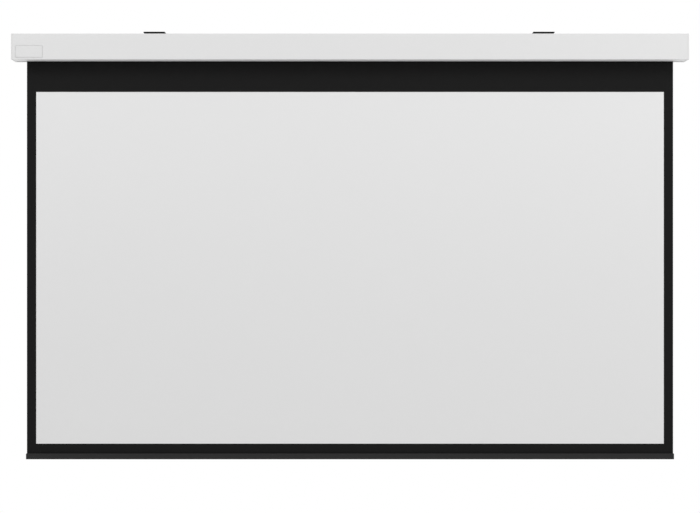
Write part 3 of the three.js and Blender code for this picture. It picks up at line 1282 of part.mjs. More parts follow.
function clampScrew() {
  const taper = CLAMP_SCREW_HEAD_RADIUS - CLAMP_SCREW_RADIUS;
  return turnedAlongZ([
    [0, -CLAMP_SCREW_LENGTH], [CLAMP_SCREW_RADIUS - CLAMP_SCREW_TIP, -CLAMP_SCREW_LENGTH],
    [CLAMP_SCREW_RADIUS, CLAMP_SCREW_TIP - CLAMP_SCREW_LENGTH], [CLAMP_SCREW_RADIUS, -taper],
    [CLAMP_SCREW_HEAD_RADIUS, 0], [0, 0],
  ]);
}

function hangingBracket(sideName, place) {
  const group = new THREE.Group();
  group.add(namedMesh(`${sideName}_bracket`, bracketPlate(), FINISHES.bracketBlack));
  TRACK_PLACES.forEach((y, index) => {
    const end = index === 0 ? 'front' : 'rear';
    const nut = namedMesh(`${sideName}_${end}_nut`, slidingNut(), FINISHES.zinc);
    const screw = namedMesh(`${sideName}_${end}_clamp_screw`, clampScrew(), FINISHES.zinc);
    nut.position.y = y;
    screw.position.set(0, y, -CLAMP_SCREW_SINK);
    group.add(nut, screw);
  });
  group.position.x = place;
  return group;
}

function caseAssembly() {
  const group = new THREE.Group();
  group.add(
    namedMesh('case_shell', caseShell(), FINISHES.caseWhite),
    capWithScrews('left', -1),
    capWithScrews('right', 1),
    frontPlate(),
    powerInlet(),
    receiver(),
    inletLead(),
    motorLead(),
    motorEnd(),
    idlerEnd(),
    roller(),
    screenSheet(),
    blackBorder(),
    bottomBar(),
  );
  group.position.set(0, CASE_PLACE_Y, CASE_PLACE_Z);
  return group;
}

const projectorScreen = new THREE.Group();
projectorScreen.add(
  caseAssembly(),
  hangingBracket('left', LEFT_BRACKET_PLACE),
  hangingBracket('right', RIGHT_BRACKET_PLACE),
);

export default projectorScreen;
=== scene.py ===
"""Looks of a motorized projector screen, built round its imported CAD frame.

A long white case hangs from two folded brackets, a sheet with a black border hangs from the roller
inside the case, and a weighted bar keeps the sheet straight. Metres, +Z up, and the audience sits
on the -Y side.
"""

import logging
import math
from collections.abc import Callable, Iterable
from dataclasses import dataclass, field
from enum import Enum
from typing import TypeVar

import bmesh
import bpy
from mathutils import Matrix, Vector


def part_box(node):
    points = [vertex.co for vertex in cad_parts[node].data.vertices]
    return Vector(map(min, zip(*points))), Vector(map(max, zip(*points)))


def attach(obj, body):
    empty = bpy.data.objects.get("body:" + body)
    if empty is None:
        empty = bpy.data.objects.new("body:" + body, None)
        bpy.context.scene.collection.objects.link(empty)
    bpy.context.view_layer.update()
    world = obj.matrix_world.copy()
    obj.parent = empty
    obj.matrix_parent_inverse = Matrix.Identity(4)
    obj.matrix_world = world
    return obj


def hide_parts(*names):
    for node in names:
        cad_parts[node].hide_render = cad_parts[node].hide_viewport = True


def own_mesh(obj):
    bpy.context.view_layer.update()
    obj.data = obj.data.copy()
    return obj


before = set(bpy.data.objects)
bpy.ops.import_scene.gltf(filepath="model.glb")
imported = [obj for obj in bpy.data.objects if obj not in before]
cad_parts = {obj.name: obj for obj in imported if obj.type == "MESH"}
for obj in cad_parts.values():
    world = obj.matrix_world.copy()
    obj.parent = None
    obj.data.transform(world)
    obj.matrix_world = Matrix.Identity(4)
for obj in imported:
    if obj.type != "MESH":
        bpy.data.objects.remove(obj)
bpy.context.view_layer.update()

MM = 0.001
X_AXIS = Vector((1, 0, 0))
Y_AXIS = Vector((0, 1, 0))
Z_AXIS = Vector((0, 0, 1))
MERGE_DISTANCE = 0.002 * MM
QUARTER_TURN = math.radians(90)
SMOOTH_ANGLE = math.radians(32)
FLAT_ANGLE = math.radians(0.5)
SAME_DIRECTION = 0.999
EDGE_STEPS = 2
CLOTH_UV = "Cloth"
FLOAT = "NodeSocketFloat"
COLOUR = "NodeSocketColor"
VECTOR = "NodeSocketVector"

Colour = tuple[float, float, float, float]
Signal = bpy.types.NodeSocket | float
Element = bmesh.types.BMFace | bmesh.types.BMEdge | bmesh.types.BMVert
Item = TypeVar("Item")

log = logging.getLogger("projector_screen")


class Body(Enum):
    """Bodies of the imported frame."""

    CASE = "case"
    ROLLER = "roller"
    BAR = "bottom_bar"
    LEFT_BRACKET = "left_bracket"
    RIGHT_BRACKET = "right_bracket"
    UP_LIMIT = "up_limit_screw"
    DOWN_LIMIT = "down_limit_screw"


class Slot(Enum):
    """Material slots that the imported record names."""

    CASE = "case_white"
    CAP = "cap_white"
    PLATE = "plate_white"
    BRACKET = "bracket_black"
    BAR = "bar_black"
    PLASTIC = "plastic_black"
    SHEET = "sheet_white"
    BORDER = "border_black"
    ALUMINIUM = "roller_aluminium"
    ZINC = "zinc"
    ZINC_BLACK = "zinc_black"
    STEEL = "steel"
    NYLON = "nylon"
    BRONZE = "bronze"
    LIMIT_WHITE = "limit_white"
    LIMIT_YELLOW = "limit_yellow"
    BOARD = "board_green"


class Accent(Enum):
    """Finishes that a piece has beside its slot's own: the plate's groove has a painted shade."""

    # The groove's finish is a painted shade, darker than the plate.
    PAINTED_GROOVE_SHADE = "painted_groove_shade"


class Side(Enum):
    """Left and right as the audience sees them, with the sign of X."""

    LEFT = -1
    RIGHT = 1

    @property
    def label(self) -> str:
        """The side's name as the CAD nodes spell it."""
        return self.name.lower()


class Track(Enum):
    """The two tracks along the case's top, which the brackets' nuts slide in."""

    FRONT = "front"
    REAR = "rear"


class HeadKind(Enum):
    """Shapes of screw head."""

    COUNTERSUNK = "countersunk"
    PAN = "pan"


def linear_colour(red: float, green: float, blue: float) -> Colour:
    """Turns a colour of levels from 0 to 255 into linear RGBA, by the sRGB curve.

    Args:
        red: Red level.
        green: Green level.
        blue: Blue level.

    Returns:
        The colour that a shader socket takes.
    """
    values = []
    for level in (red, green, blue):
        share = level / 255
        values.append(share / 12.92 if share <= 0.04045 else ((share + 0.055) / 1.055) ** 2.4)
    return (values[0], values[1], values[2], 1.0)


def grey(level: float) -> Colour:
    """A neutral linear colour of one level from 0 to 255."""
    return linear_colour(level, level, level)


def scaled_colour(colour: Colour, gain: float) -> Colour:
    """A linear colour made lighter or darker, its alpha kept at 1."""
    return (*(value * gain for value in colour[:3]), 1.0)


# Node trees


class Wiring:
    """Adds nodes to one tree and joins their sockets."""

    def __init__(self, tree: bpy.types.NodeTree) -> None:
        """Starts with an empty tree."""
        self.tree = tree
        self.tree.nodes.clear()

    def node(self, kind: str, values: dict[str, object] | None = None, **settings: object) -> bpy.types.Node:
        """Adds a node.

        Args:
            kind: Blender's name of the node type.
            values: Default value of each named input socket.
            **settings: Properties of the node itself.

        Returns:
            The new node.
        """
        made = self.tree.nodes.new(kind)
        for name, value in settings.items():
            setattr(made, name, value)
        for name, value in (values or {}).items():
            made.inputs[name].default_value = value
        return made

    def join(self, source: bpy.types.NodeSocket, target: bpy.types.NodeSocket) -> None:
        """Links an output socket to an input socket."""
        self.tree.links.new(source, target)

    def math(self, operation: str, first: Signal, second: Signal = 0.0) -> bpy.types.NodeSocket:
        """Adds a Math node.

        Args:
            operation: Name of the operation.
            first: A socket or a number.
            second: A socket or a number, for operations that take two.

        Returns:
            The node's output socket.
        """
        made = self.tree.nodes.new("ShaderNodeMath")
        made.operation = operation
        for index, value in enumerate((first, second)):
            if isinstance(value, bpy.types.NodeSocket):
                self.join(value, made.inputs[index])
            else:
                made.inputs[index].default_value = value
        return made.outputs[0]

    def group(self, tree: bpy.types.NodeTree, values: dict[str, object]) -> bpy.types.Node:
        """Places a node group.

        Args:
            tree: The shared group.
            values: A number, colour or socket for each named input.

        Returns:
            The group node.
        """
        made = self.tree.nodes.new("ShaderNodeGroup")
        made.node_tree = tree
        for name, value in values.items():
            if isinstance(value, bpy.types.NodeSocket):
                self.join(value, made.inputs[name])
            else:
                made.inputs[name].default_value = value
        return made


def new_group(name: str, inputs: dict[str, str],
              outputs: dict[str, str]) -> tuple[bpy.types.NodeTree, Wiring]:
    """Starts a shader node group.

    Args:
        name: Name of the group.
        inputs: Socket type of each named input.
        outputs: Socket type of each named output.

    Returns:
        The group's tree and its wiring, which holds no nodes yet.
    """
    tree = bpy.data.node_groups.new(name, "ShaderNodeTree")
    for label, kind in inputs.items():
        tree.interface.new_socket(name=label, in_out="INPUT", socket_type=kind)
    for label, kind in outputs.items():
        tree.interface.new_socket(name=label, in_out="OUTPUT", socket_type=kind)
    return tree, Wiring(tree)


class SharedEffects:
    """Node groups that several finishes use, each built once."""

    def __init__(self) -> None:
        """Builds every group."""
        self.grain = self._grain()
        self.weave = self._weave()
        self.drawn_lines = self._drawn_lines()
        self.tone_drift = self._tone_drift()
        self.settled_dust = self._settled_dust()
        self.edge_wear = self._edge_wear()

    @staticmethod
    def _grain() -> bpy.types.NodeTree:
        """Fine pebbles of a moulded or powder-coated surface. Size is one pebble's, in metres.

        Returns:
            The group, which gives a height.
        """
        swell_scale = 0.4
        pebble_height = 0.6
        tree, wiring = new_group("surface_grain", {"Vector": VECTOR, "Size": FLOAT}, {"Height": FLOAT})
        entry = wiring.node("NodeGroupInput")
        exit_node = wiring.node("NodeGroupOutput")
        scale = wiring.math("DIVIDE", 1.0, entry.outputs["Size"])
        pebbles = wiring.node("ShaderNodeTexVoronoi", {"Smoothness": 0.6}, feature="SMOOTH_F1")
        swell = wiring.node("ShaderNodeTexNoise", {"Detail": 2.0, "Roughness": 0.5})
        for texture in (pebbles, swell):
            wiring.join(entry.outputs["Vector"], texture.inputs["Vector"])
        wiring.join(scale, pebbles.inputs["Scale"])
        wiring.join(wiring.math("MULTIPLY", scale, swell_scale), swell.inputs["Scale"])
        raised = wiring.math("MULTIPLY", pebbles.outputs["Distance"], pebble_height)
        height = wiring.math("ADD", raised, swell.outputs["Fac"])
        wiring.join(height, exit_node.inputs["Height"])
        return tree

    @staticmethod
    def _weave() -> bpy.types.NodeTree:
        """Plain weave. Pitch is the distance between threads, in the units of Vector.

        Returns:
            The group, which gives a height and the share of threads that lie on top.
        """
        tree, wiring = new_group(
            "plain_weave", {"Vector": VECTOR, "Pitch": FLOAT}, {"Height": FLOAT, "Thread": FLOAT})
        entry = wiring.node("NodeGroupInput")
        exit_node = wiring.node("NodeGroupOutput")
        split = wiring.node("ShaderNodeSeparateXYZ")
        wiring.join(entry.outputs["Vector"], split.inputs[0])
        waves = []
        for axis in ("X", "Y"):
            turns = wiring.math("DIVIDE", split.outputs[axis], entry.outputs["Pitch"])
            waves.append(wiring.math("SINE", wiring.math("MULTIPLY", turns, math.pi)))
        warp, weft = waves
        over = wiring.math("GREATER_THAN", wiring.math("MULTIPLY", warp, weft), 0.0)
        under = wiring.math("SUBTRACT", 1.0, over)
        warp_height = wiring.math("MULTIPLY", wiring.math("ABSOLUTE", warp), over)
        weft_height = wiring.math("MULTIPLY", wiring.math("ABSOLUTE", weft), under)
        wiring.join(wiring.math("ADD", warp_height, weft_height), exit_node.inputs["Height"])
        wiring.join(over, exit_node.inputs["Thread"])
        return tree

    @staticmethod
    def _drawn_lines() -> bpy.types.NodeTree:
        """Fine lines along X that drawing or brushing leaves. Width is across a line, in metres.

        Returns:
            The group, which gives a height.
        """
        tree, wiring = new_group("drawn_lines", {"Vector": VECTOR, "Width": FLOAT}, {"Height": FLOAT})
        entry = wiring.node("NodeGroupInput")
        exit_node = wiring.node("NodeGroupOutput")
        along_x = 0.01
        stretch = wiring.node("ShaderNodeMapping", {"Scale": (along_x, 1.0, 1.0)})
        lines = wiring.node("ShaderNodeTexNoise", {"Detail": 3.0, "Roughness": 0.6})
        wiring.join(entry.outputs["Vector"], stretch.inputs["Vector"])
        wiring.join(stretch.outputs["Vector"], lines.inputs["Vector"])
        wiring.join(wiring.math("DIVIDE", 1.0, entry.outputs["Width"]), lines.inputs["Scale"])
        wiring.join(lines.outputs["Fac"], exit_node.inputs["Height"])
        return tree

    @staticmethod
    def _tone_drift() -> bpy.types.NodeTree:
        """A slow change of tone over a surface. Amount is the share by which a colour changes.

        Returns:
            The group, which gives the changed colour.
        """
        tree, wiring = new_group(
            "tone_drift",
            {"Vector": VECTOR, "Color": COLOUR, "Amount": FLOAT, "Size": FLOAT},
            {"Color": COLOUR})
        entry = wiring.node("NodeGroupInput")
        exit_node = wiring.node("NodeGroupOutput")
        clouds = wiring.node("ShaderNodeTexNoise", {"Detail": 3.0, "Roughness": 0.55})
        wiring.join(entry.outputs["Vector"], clouds.inputs["Vector"])
        wiring.join(wiring.math("DIVIDE", 1.0, entry.outputs["Size"]), clouds.inputs["Scale"])
        swing = wiring.math("MULTIPLY", wiring.math("SUBTRACT", clouds.outputs["Fac"], 0.5), 2.0)
        gain = wiring.math("ADD", wiring.math("MULTIPLY", swing, entry.outputs["Amount"]), 1.0)
        scaled = wiring.node("ShaderNodeVectorMath", operation="SCALE")
        wiring.join(entry.outputs["Color"], scaled.inputs[0])
        wiring.join(gain, scaled.inputs["Scale"])
        wiring.join(scaled.outputs["Vector"], exit_node.inputs["Color"])
        return tree

    @staticmethod
    def _settled_dust() -> bpy.types.NodeTree:
        """Dust that settles on faces that look up, in patches.

        Returns:
            The group, which gives a mask.
        """
        tree, wiring = new_group("settled_dust", {"Vector": VECTOR, "Amount": FLOAT}, {"Mask": FLOAT})
        entry = wiring.node("NodeGroupInput")
        exit_node = wiring.node("NodeGroupOutput")
        surface = wiring.node("ShaderNodeNewGeometry")
        split = wiring.node("ShaderNodeSeparateXYZ")
        patches = wiring.node("ShaderNodeTexNoise", {"Scale": 60.0, "Detail": 4.0})
        wiring.join(surface.outputs["Normal"], split.inputs[0])
        wiring.join(entry.outputs["Vector"], patches.inputs["Vector"])
        upward = wiring.math("MAXIMUM", split.outputs["Z"], 0.0)
        patchy = wiring.math("MULTIPLY", upward, patches.outputs["Fac"])
        wiring.join(wiring.math("MULTIPLY", patchy, entry.outputs["Amount"]), exit_node.inputs["Mask"])
        return tree

    @staticmethod
    def _edge_wear() -> bpy.types.NodeTree:
        """Edges that handling has rubbed, broken up by noise.

        Returns:
            The group, which gives a mask.
        """
        tree, wiring = new_group("edge_wear", {"Vector": VECTOR, "Amount": FLOAT}, {"Mask": FLOAT})
        entry = wiring.node("NodeGroupInput")
        exit_node = wiring.node("NodeGroupOutput")
        surface = wiring.node("ShaderNodeNewGeometry")
        breaks = wiring.node("ShaderNodeTexNoise", {"Scale": 220.0, "Detail": 3.0})
        wiring.join(entry.outputs["Vector"], breaks.inputs["Vector"])
        edge = wiring.node("ShaderNodeMapRange", {"From Min": 0.52, "From Max": 0.62})
        wiring.join(surface.outputs["Pointiness"], edge.inputs["Value"])
        worn = wiring.math("MULTIPLY", edge.outputs["Result"], breaks.outputs["Fac"])
        wiring.join(wiring.math("MULTIPLY", worn, entry.outputs["Amount"]), exit_node.inputs["Mask"])
        return tree


# Finishes


@dataclass(frozen=True)
class Finish:
    """What every finish has: a name, a colour and the shader's plain numbers."""

    name: str
    colour: Colour
    roughness: float
    specular: float = 0.5
    metallic: float = 0.0

    def started(self) -> tuple[bpy.types.Material, Wiring, bpy.types.Node, bpy.types.NodeSocket]:
        """Starts the material.

        Returns:
            The material, its wiring, its Principled shader and the Object coordinate socket.
        """
        material = bpy.data.materials.new(self.name)
        material.use_nodes = True
        wiring = Wiring(material.node_tree)
        output = wiring.node("ShaderNodeOutputMaterial")
        shader = wiring.node("ShaderNodeBsdfPrincipled", {
            "Base Color": self.colour,
            "Roughness": self.roughness,
            "Specular IOR Level": self.specular,
            "Metallic": self.metallic,
        })
        wiring.join(shader.outputs["BSDF"], output.inputs["Surface"])
        place = wiring.node("ShaderNodeTexCoord").outputs["Object"]
        return material, wiring, shader, place

    def build(self, effects: SharedEffects) -> bpy.types.Material:
        """Makes the material.

        Args:
            effects: The shared node groups.

        Returns:
            The finished material.
        """
        raise NotImplementedError


def relief(wiring: Wiring, shader: bpy.types.Node, height: bpy.types.NodeSocket, strength: float,
           depth: float) -> None:
    """Bumps a shader's normal.

    Args:
        wiring: The material's wiring.
        shader: The shader that takes the normal.
        height: Height from 0 to 1.
        strength: Share of the relief that shows.
        depth: Depth of the relief in metres.
    """
    bump = wiring.node("ShaderNodeBump", {"Strength": strength, "Distance": depth})
    wiring.join(height, bump.inputs["Height"])
    wiring.join(bump.outputs["Normal"], shader.inputs["Normal"])


def blended(wiring: Wiring, mask: bpy.types.NodeSocket, below: bpy.types.NodeSocket,
            above: Colour) -> bpy.types.NodeSocket:
    """Lays one colour over another.

    Args:
        wiring: The material's wiring.
        mask: Share of the upper colour.
        below: Socket of the lower colour.
        above: The upper colour.

    Returns:
        The mixed colour's socket.
    """
    # The Mix node has sockets of one name for each data type, so its colours go by their numbers.
    colour_a, colour_b, colour_result = 6, 7, 2
    mix = wiring.node("ShaderNodeMix", data_type="RGBA")
    wiring.join(mask, mix.inputs["Factor"])
    wiring.join(below, mix.inputs[colour_a])
    mix.inputs[colour_b].default_value = above
    return mix.outputs[colour_result]


@dataclass(frozen=True)
class PowderCoat(Finish):
    """Baked powder paint: a fine orange peel, edges where it lies thinner, and dust on top."""

    grain_size: float = 1.1 * MM
    grain_depth: float = 0.04 * MM
    grain_strength: float = 0.6
    drift: float = 0.006
    drift_size: float = 180 * MM
    edge_colour: Colour = grey(205)
    edge_share: float = 0.25
    dust_colour: Colour = grey(196)
    dust_share: float = 0.2
    dust_roughness: float = 0.5

    def build(self, effects: SharedEffects) -> bpy.types.Material:
        """Makes the material from grain, drift, wear and dust.

        Args:
            effects: The shared node groups.

        Returns:
            The finished material.
        """
        material, wiring, shader, place = self.started()
        base = wiring.group(effects.tone_drift, {
            "Vector": place, "Color": self.colour, "Amount": self.drift,
            "Size": self.drift_size}).outputs["Color"]
        wear = wiring.group(effects.edge_wear, {"Vector": place, "Amount": self.edge_share}).outputs["Mask"]
        dust = wiring.group(effects.settled_dust, {
            "Vector": place, "Amount": self.dust_share}).outputs["Mask"]
        worn = blended(wiring, wear, base, self.edge_colour)
        wiring.join(blended(wiring, dust, worn, self.dust_colour), shader.inputs["Base Color"])
        rough = wiring.math("ADD", wiring.math("MULTIPLY", dust, self.dust_roughness), self.roughness)
        wiring.join(rough, shader.inputs["Roughness"])
        height = wiring.group(effects.grain, {"Vector": place, "Size": self.grain_size}).outputs["Height"]
        relief(wiring, shader, height, self.grain_strength, self.grain_depth)
        return material


@dataclass(frozen=True)
class MouldedPlastic(Finish):
    """Injection-moulded plastic with a spark-eroded texture."""

    grain_size: float = 0.6 * MM
    grain_depth: float = 0.03 * MM
    grain_strength: float = 0.4
    drift: float = 0.01
    drift_size: float = 60 * MM
    edge_colour: Colour = grey(210)
    edge_share: float = 0.2

    def build(self, effects: SharedEffects) -> bpy.types.Material:
        """Makes the material from grain, drift and rubbed edges.

        Args:
            effects: The shared node groups.

        Returns:
            The finished material.
        """
        material, wiring, shader, place = self.started()
        base = wiring.group(effects.tone_drift, {
            "Vector": place, "Color": self.colour, "Amount": self.drift,
            "Size": self.drift_size}).outputs["Color"]
        wear = wiring.group(effects.edge_wear, {"Vector": place, "Amount": self.edge_share}).outputs["Mask"]
        wiring.join(blended(wiring, wear, base, self.edge_colour), shader.inputs["Base Color"])
        height = wiring.group(effects.grain, {"Vector": place, "Size": self.grain_size}).outputs["Height"]
        relief(wiring, shader, height, self.grain_strength, self.grain_depth)
        return material


@dataclass(frozen=True)
class CoatedCloth(Finish):
    """Woven glass cloth under a matt coat. It reads the cloth's own UV map, in metres."""

    pitch: float = 0.45 * MM
    thread_depth: float = 0.03 * MM
    thread_strength: float = 0.25
    thread_tone: float = 0.012
    hidden_share: float = 0.5
    drift: float = 0.006
    drift_size: float = 220 * MM

    def build(self, effects: SharedEffects) -> bpy.types.Material:
        """Makes the material from weave and drift.

        Args:
            effects: The shared node groups.

        Returns:
            The finished material.
        """
        material, wiring, shader, _ = self.started()
        uv = wiring.node("ShaderNodeUVMap", uv_map=CLOTH_UV).outputs["UV"]
        weave = wiring.group(effects.weave, {"Vector": uv, "Pitch": self.pitch})
        clouds = wiring.group(effects.tone_drift, {
            "Vector": uv, "Color": self.colour, "Amount": self.drift,
            "Size": self.drift_size}).outputs["Color"]
        shade = scaled_colour(self.colour, 1 - self.thread_tone)
        hidden = wiring.math("MULTIPLY", weave.outputs["Thread"], self.hidden_share)
        wiring.join(blended(wiring, hidden, clouds, shade), shader.inputs["Base Color"])
        relief(wiring, shader, weave.outputs["Height"], self.thread_strength, self.thread_depth)
        return material


@dataclass(frozen=True)
class DrawnMetal(Finish):
    """Bare, plated or anodised metal with lines along its length."""

    line_width: float = 0.25 * MM
    line_depth: float = 0.01 * MM
    line_strength: float = 0.3
    drift: float = 0.04
    drift_size: float = 35 * MM
    rough_swing: float = 0.12

    def build(self, effects: SharedEffects) -> bpy.types.Material:
        """Makes the material from lines and an uneven roughness.

        Args:
            effects: The shared node groups.

        Returns:
            The finished material.
        """
        material, wiring, shader, place = self.started()
        lines = wiring.group(effects.drawn_lines, {
            "Vector": place, "Width": self.line_width}).outputs["Height"]
        base = wiring.group(effects.tone_drift, {
            "Vector": place, "Color": self.colour, "Amount": self.drift,
            "Size": self.drift_size}).outputs["Color"]
        wiring.join(base, shader.inputs["Base Color"])
        swing = wiring.math("MULTIPLY", wiring.math("SUBTRACT", lines, 0.5), self.rough_swing)
        wiring.join(wiring.math("ADD", swing, self.roughness), shader.inputs["Roughness"])
        relief(wiring, shader, lines, self.line_strength, self.line_depth)
        return material


@dataclass(frozen=True)
class CircuitLaminate(Finish):
    """Green solder mask over copper tracks."""

    track_pitch: float = 2.5 * MM
    track_width: float = 0.04
    track_depth: float = 0.03 * MM
    track_strength: float = 0.3
    track_gain: float = 1.8
    copper_gain: float = 1.25

    def build(self, effects: SharedEffects) -> bpy.types.Material:
        """Makes the material from tracks that a brick pattern lays out.

        Args:
            effects: The shared node groups, not used here.

        Returns:
            The finished material.
        """
        material, wiring, shader, place = self.started()
        tracks = wiring.node("ShaderNodeTexBrick", {
            "Color1": self.colour,
            "Color2": scaled_colour(self.colour, self.copper_gain),
            "Mortar": scaled_colour(self.colour, self.track_gain),
            "Scale": 1 / self.track_pitch,
            "Mortar Size": self.track_width,
        })
        wiring.join(place, tracks.inputs["Vector"])
        wiring.join(tracks.outputs["Color"], shader.inputs["Base Color"])
        relief(wiring, shader, tracks.outputs["Fac"], self.track_strength, self.track_depth)
        return material


FINISHES: dict[Slot | Accent, Finish] = {
    Slot.CASE: PowderCoat("case_powder_coat", grey(225), 0.42, specular=0.35),
    Slot.CAP: MouldedPlastic("cap_moulded_white", grey(221), 0.5, specular=0.3),
    Slot.PLATE: MouldedPlastic("plate_moulded_white", grey(224), 0.4, specular=0.35, grain_size=0.4 * MM),
    # Painted shade: the plate's groove floor is darker and duller than the plate, standing for the shade in
    # the groove.
    Accent.PAINTED_GROOVE_SHADE: MouldedPlastic("plate_groove_painted_shade", grey(215), 0.6, specular=0.1, edge_share=0.0),
    Slot.BRACKET: PowderCoat("bracket_powder_coat", grey(20), 0.75, specular=0.1, grain_size=0.8 * MM,
                             edge_colour=grey(96), edge_share=0.06, dust_colour=grey(120), dust_share=0.12),
    Slot.BAR: DrawnMetal("bar_black_anodised", grey(36), 0.55, specular=0.2, line_width=0.4 * MM),
    Slot.PLASTIC: MouldedPlastic("black_moulded_plastic", grey(26), 0.5, specular=0.35, edge_colour=grey(60)),
    Slot.SHEET: CoatedCloth("sheet_matt_white", grey(232), 0.85, specular=0.1),
    Slot.BORDER: CoatedCloth("border_matt_black", grey(26), 0.8, specular=0.08, thread_tone=0.08, drift=0.02),
    Slot.ALUMINIUM: DrawnMetal("roller_drawn_aluminium", grey(196), 0.35, metallic=1.0),
    Slot.ZINC: DrawnMetal("zinc_plate", linear_colour(178, 181, 186), 0.3, metallic=1.0, line_width=0.5 * MM),
    Slot.ZINC_BLACK: DrawnMetal("black_passivated_zinc", grey(32), 0.5, specular=0.3, line_width=0.5 * MM),
    Slot.STEEL: DrawnMetal("ground_steel", linear_colour(150, 152, 156), 0.28, metallic=1.0),
    Slot.NYLON: MouldedPlastic("nylon", linear_colour(214, 208, 192), 0.5,
                               edge_colour=linear_colour(226, 221, 208)),
    Slot.BRONZE: DrawnMetal("sintered_bronze", linear_colour(170, 124, 70), 0.45, metallic=1.0),
    Slot.LIMIT_WHITE: MouldedPlastic("limit_screw_white", linear_colour(228, 226, 220), 0.45),
    Slot.LIMIT_YELLOW: MouldedPlastic("limit_screw_yellow", linear_colour(214, 176, 48), 0.45,
                                      edge_colour=linear_colour(226, 196, 96)),
    Slot.BOARD: CircuitLaminate("circuit_laminate", linear_colour(38, 92, 52), 0.4),
}


class Palette:
    """Every finish as a Blender material."""

    def __init__(self) -> None:
        """Builds the shared effects, then one material for each slot and accent."""
        effects = SharedEffects()
        self.materials = {key: finish.build(effects) for key, finish in FINISHES.items()}

    def of(self, finish: Slot | Accent) -> bpy.types.Material:
        """The material of a slot or an accent."""
        return self.materials[finish]


# Mesh operators


def middle_of(node: str) -> Vector:
    """The middle of a CAD node's box."""
    low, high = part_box(node)
    return (low + high) / 2


def of_kind(items: Iterable[Element], kind: type[Item]) -> list[Item]:
    """The vertices, edges or faces among what an operator gives back."""
    return [item for item in items if isinstance(item, kind)]


def faces_where(bm: bmesh.types.BMesh,
                test: Callable[[bmesh.types.BMFace], bool]) -> list[bmesh.types.BMFace]:
    """The faces that pass a test."""
    return [face for face in bm.faces if test(face)]


def faces_towards(bm: bmesh.types.BMesh, direction: Vector) -> list[bmesh.types.BMFace]:
    """The faces that look along a direction."""
    return faces_where(bm, lambda face: face.normal.dot(direction) > SAME_DIRECTION)


def edges_along(bm: bmesh.types.BMesh, axis: Vector) -> list[bmesh.types.BMEdge]:
    """Finds the edges that run along an axis.

    Args:
        bm: The mesh.
        axis: The axis, one unit long.

    Returns:
        The edges, whichever way they point.
    """
    found = []
    for edge in bm.edges:
        direction = (edge.verts[1].co - edge.verts[0].co).normalized()
        if abs(direction.dot(axis)) > SAME_DIRECTION:
            found.append(edge)
    return found


def bevel(bm: bmesh.types.BMesh, edges: Iterable[bmesh.types.BMEdge], width: float, segments: int) -> None:
    """Rounds edges.

    Args:
        bm: The mesh.
        edges: Edges to round.
        width: Radius of the rounding, in metres.
        segments: Facets across it.
    """
    bmesh.ops.bevel(bm, geom=list(edges), offset=width, offset_type="OFFSET", segments=segments, profile=0.5,
                    affect="EDGES", clamp_overlap=True, material=-1)


def rim_edges(bm: bmesh.types.BMesh, direction: Vector) -> list[bmesh.types.BMEdge]:
    """Finds the sharp edges round every face that looks along a direction.

    Args:
        bm: The mesh.
        direction: The direction, one unit long.

    Returns:
        The edges.
    """
    found = set()
    for face in faces_towards(bm, direction):
        found.update(edge for edge in face.edges if edge.calc_face_angle(0.0) > SMOOTH_ANGLE)
    return list(found)


def block(bm: bmesh.types.BMesh, low: Vector, high: Vector) -> None:
    """Adds a box between two corners."""
    place = Matrix.Translation((low + high) / 2) @ Matrix.Diagonal((*(high - low), 1.0))
    bmesh.ops.create_cube(bm, size=1.0, matrix=place)


def upright_grid(low: Vector, high: Vector, columns: int, rows: int) -> bmesh.types.BMesh:
    """Starts a cloth as a grid that stands in the rear plane of a box.

    Args:
        low: The box's lowest corner.
        high: The box's highest corner.
        columns: Faces from left to right.
        rows: Faces from bottom to top.

    Returns:
        The new mesh.
    """
    bm = bmesh.new()
    size = high - low
    lie = Matrix.Translation((0, high.y, (low.z + high.z) / 2))
    stand = Matrix.Rotation(QUARTER_TURN, 4, "X")
    bmesh.ops.create_grid(bm, x_segments=columns, y_segments=rows, size=0.5,
                          matrix=lie @ stand @ Matrix.Diagonal((size.x, size.z, 1, 1)))
    return bm


def eased_copy(node: str, width: float) -> bmesh.types.BMesh:
    """Copies a CAD node and rounds its sharp edges, as tooling leaves them.

    Args:
        node: Name of the CAD node.
        width: Radius of the rounding.

    Returns:
        The new mesh.
    """
    bm = bmesh.new()
    bm.from_mesh(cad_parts[node].data)
    bmesh.ops.remove_doubles(bm, verts=bm.verts[:], dist=MERGE_DISTANCE)
    bmesh.ops.dissolve_limit(bm, angle_limit=FLAT_ANGLE, verts=bm.verts[:], edges=bm.edges[:])
    sharp = [edge for edge in bm.edges
             if len(edge.link_faces) == 2 and edge.calc_face_angle(0.0) > SMOOTH_ANGLE]
    bevel(bm, sharp, width, EDGE_STEPS)
    bmesh.ops.dissolve_degenerate(bm, dist=MERGE_DISTANCE, edges=bm.edges[:])
    return bm


def with_rims(faces: list[bmesh.types.BMFace]) -> list[Element]:
    """Faces with all their edges and vertices, as the region operators take them."""
    return [*faces, *{edge for face in faces for edge in face.edges},
            *{vert for face in faces for vert in face.verts}]


def pushed_region(bm: bmesh.types.BMesh, faces: list[bmesh.types.BMFace], move: Vector,
                  share: float = 1.0) -> list[bmesh.types.BMFace]:
    """Moves faces and leaves walls between their old rim and their new one.

    Args:
        bm: The mesh.
        faces: The faces.
        move: How far and which way they go.
        share: Size of the moved faces against the old ones, about their middle.

    Returns:
        The moved faces.
    """
    grown = bmesh.ops.extrude_face_region(bm, geom=with_rims(faces))["geom"]
    moved = of_kind(grown, bmesh.types.BMVert)
    middle = sum((vert.co for vert in moved), Vector()) / len(moved)
    bmesh.ops.scale(bm, verts=moved, vec=(share, share, share), space=Matrix.Translation(-middle))
    bmesh.ops.translate(bm, verts=moved, vec=move)
    bm.normal_update()
    return of_kind(grown, bmesh.types.BMFace)


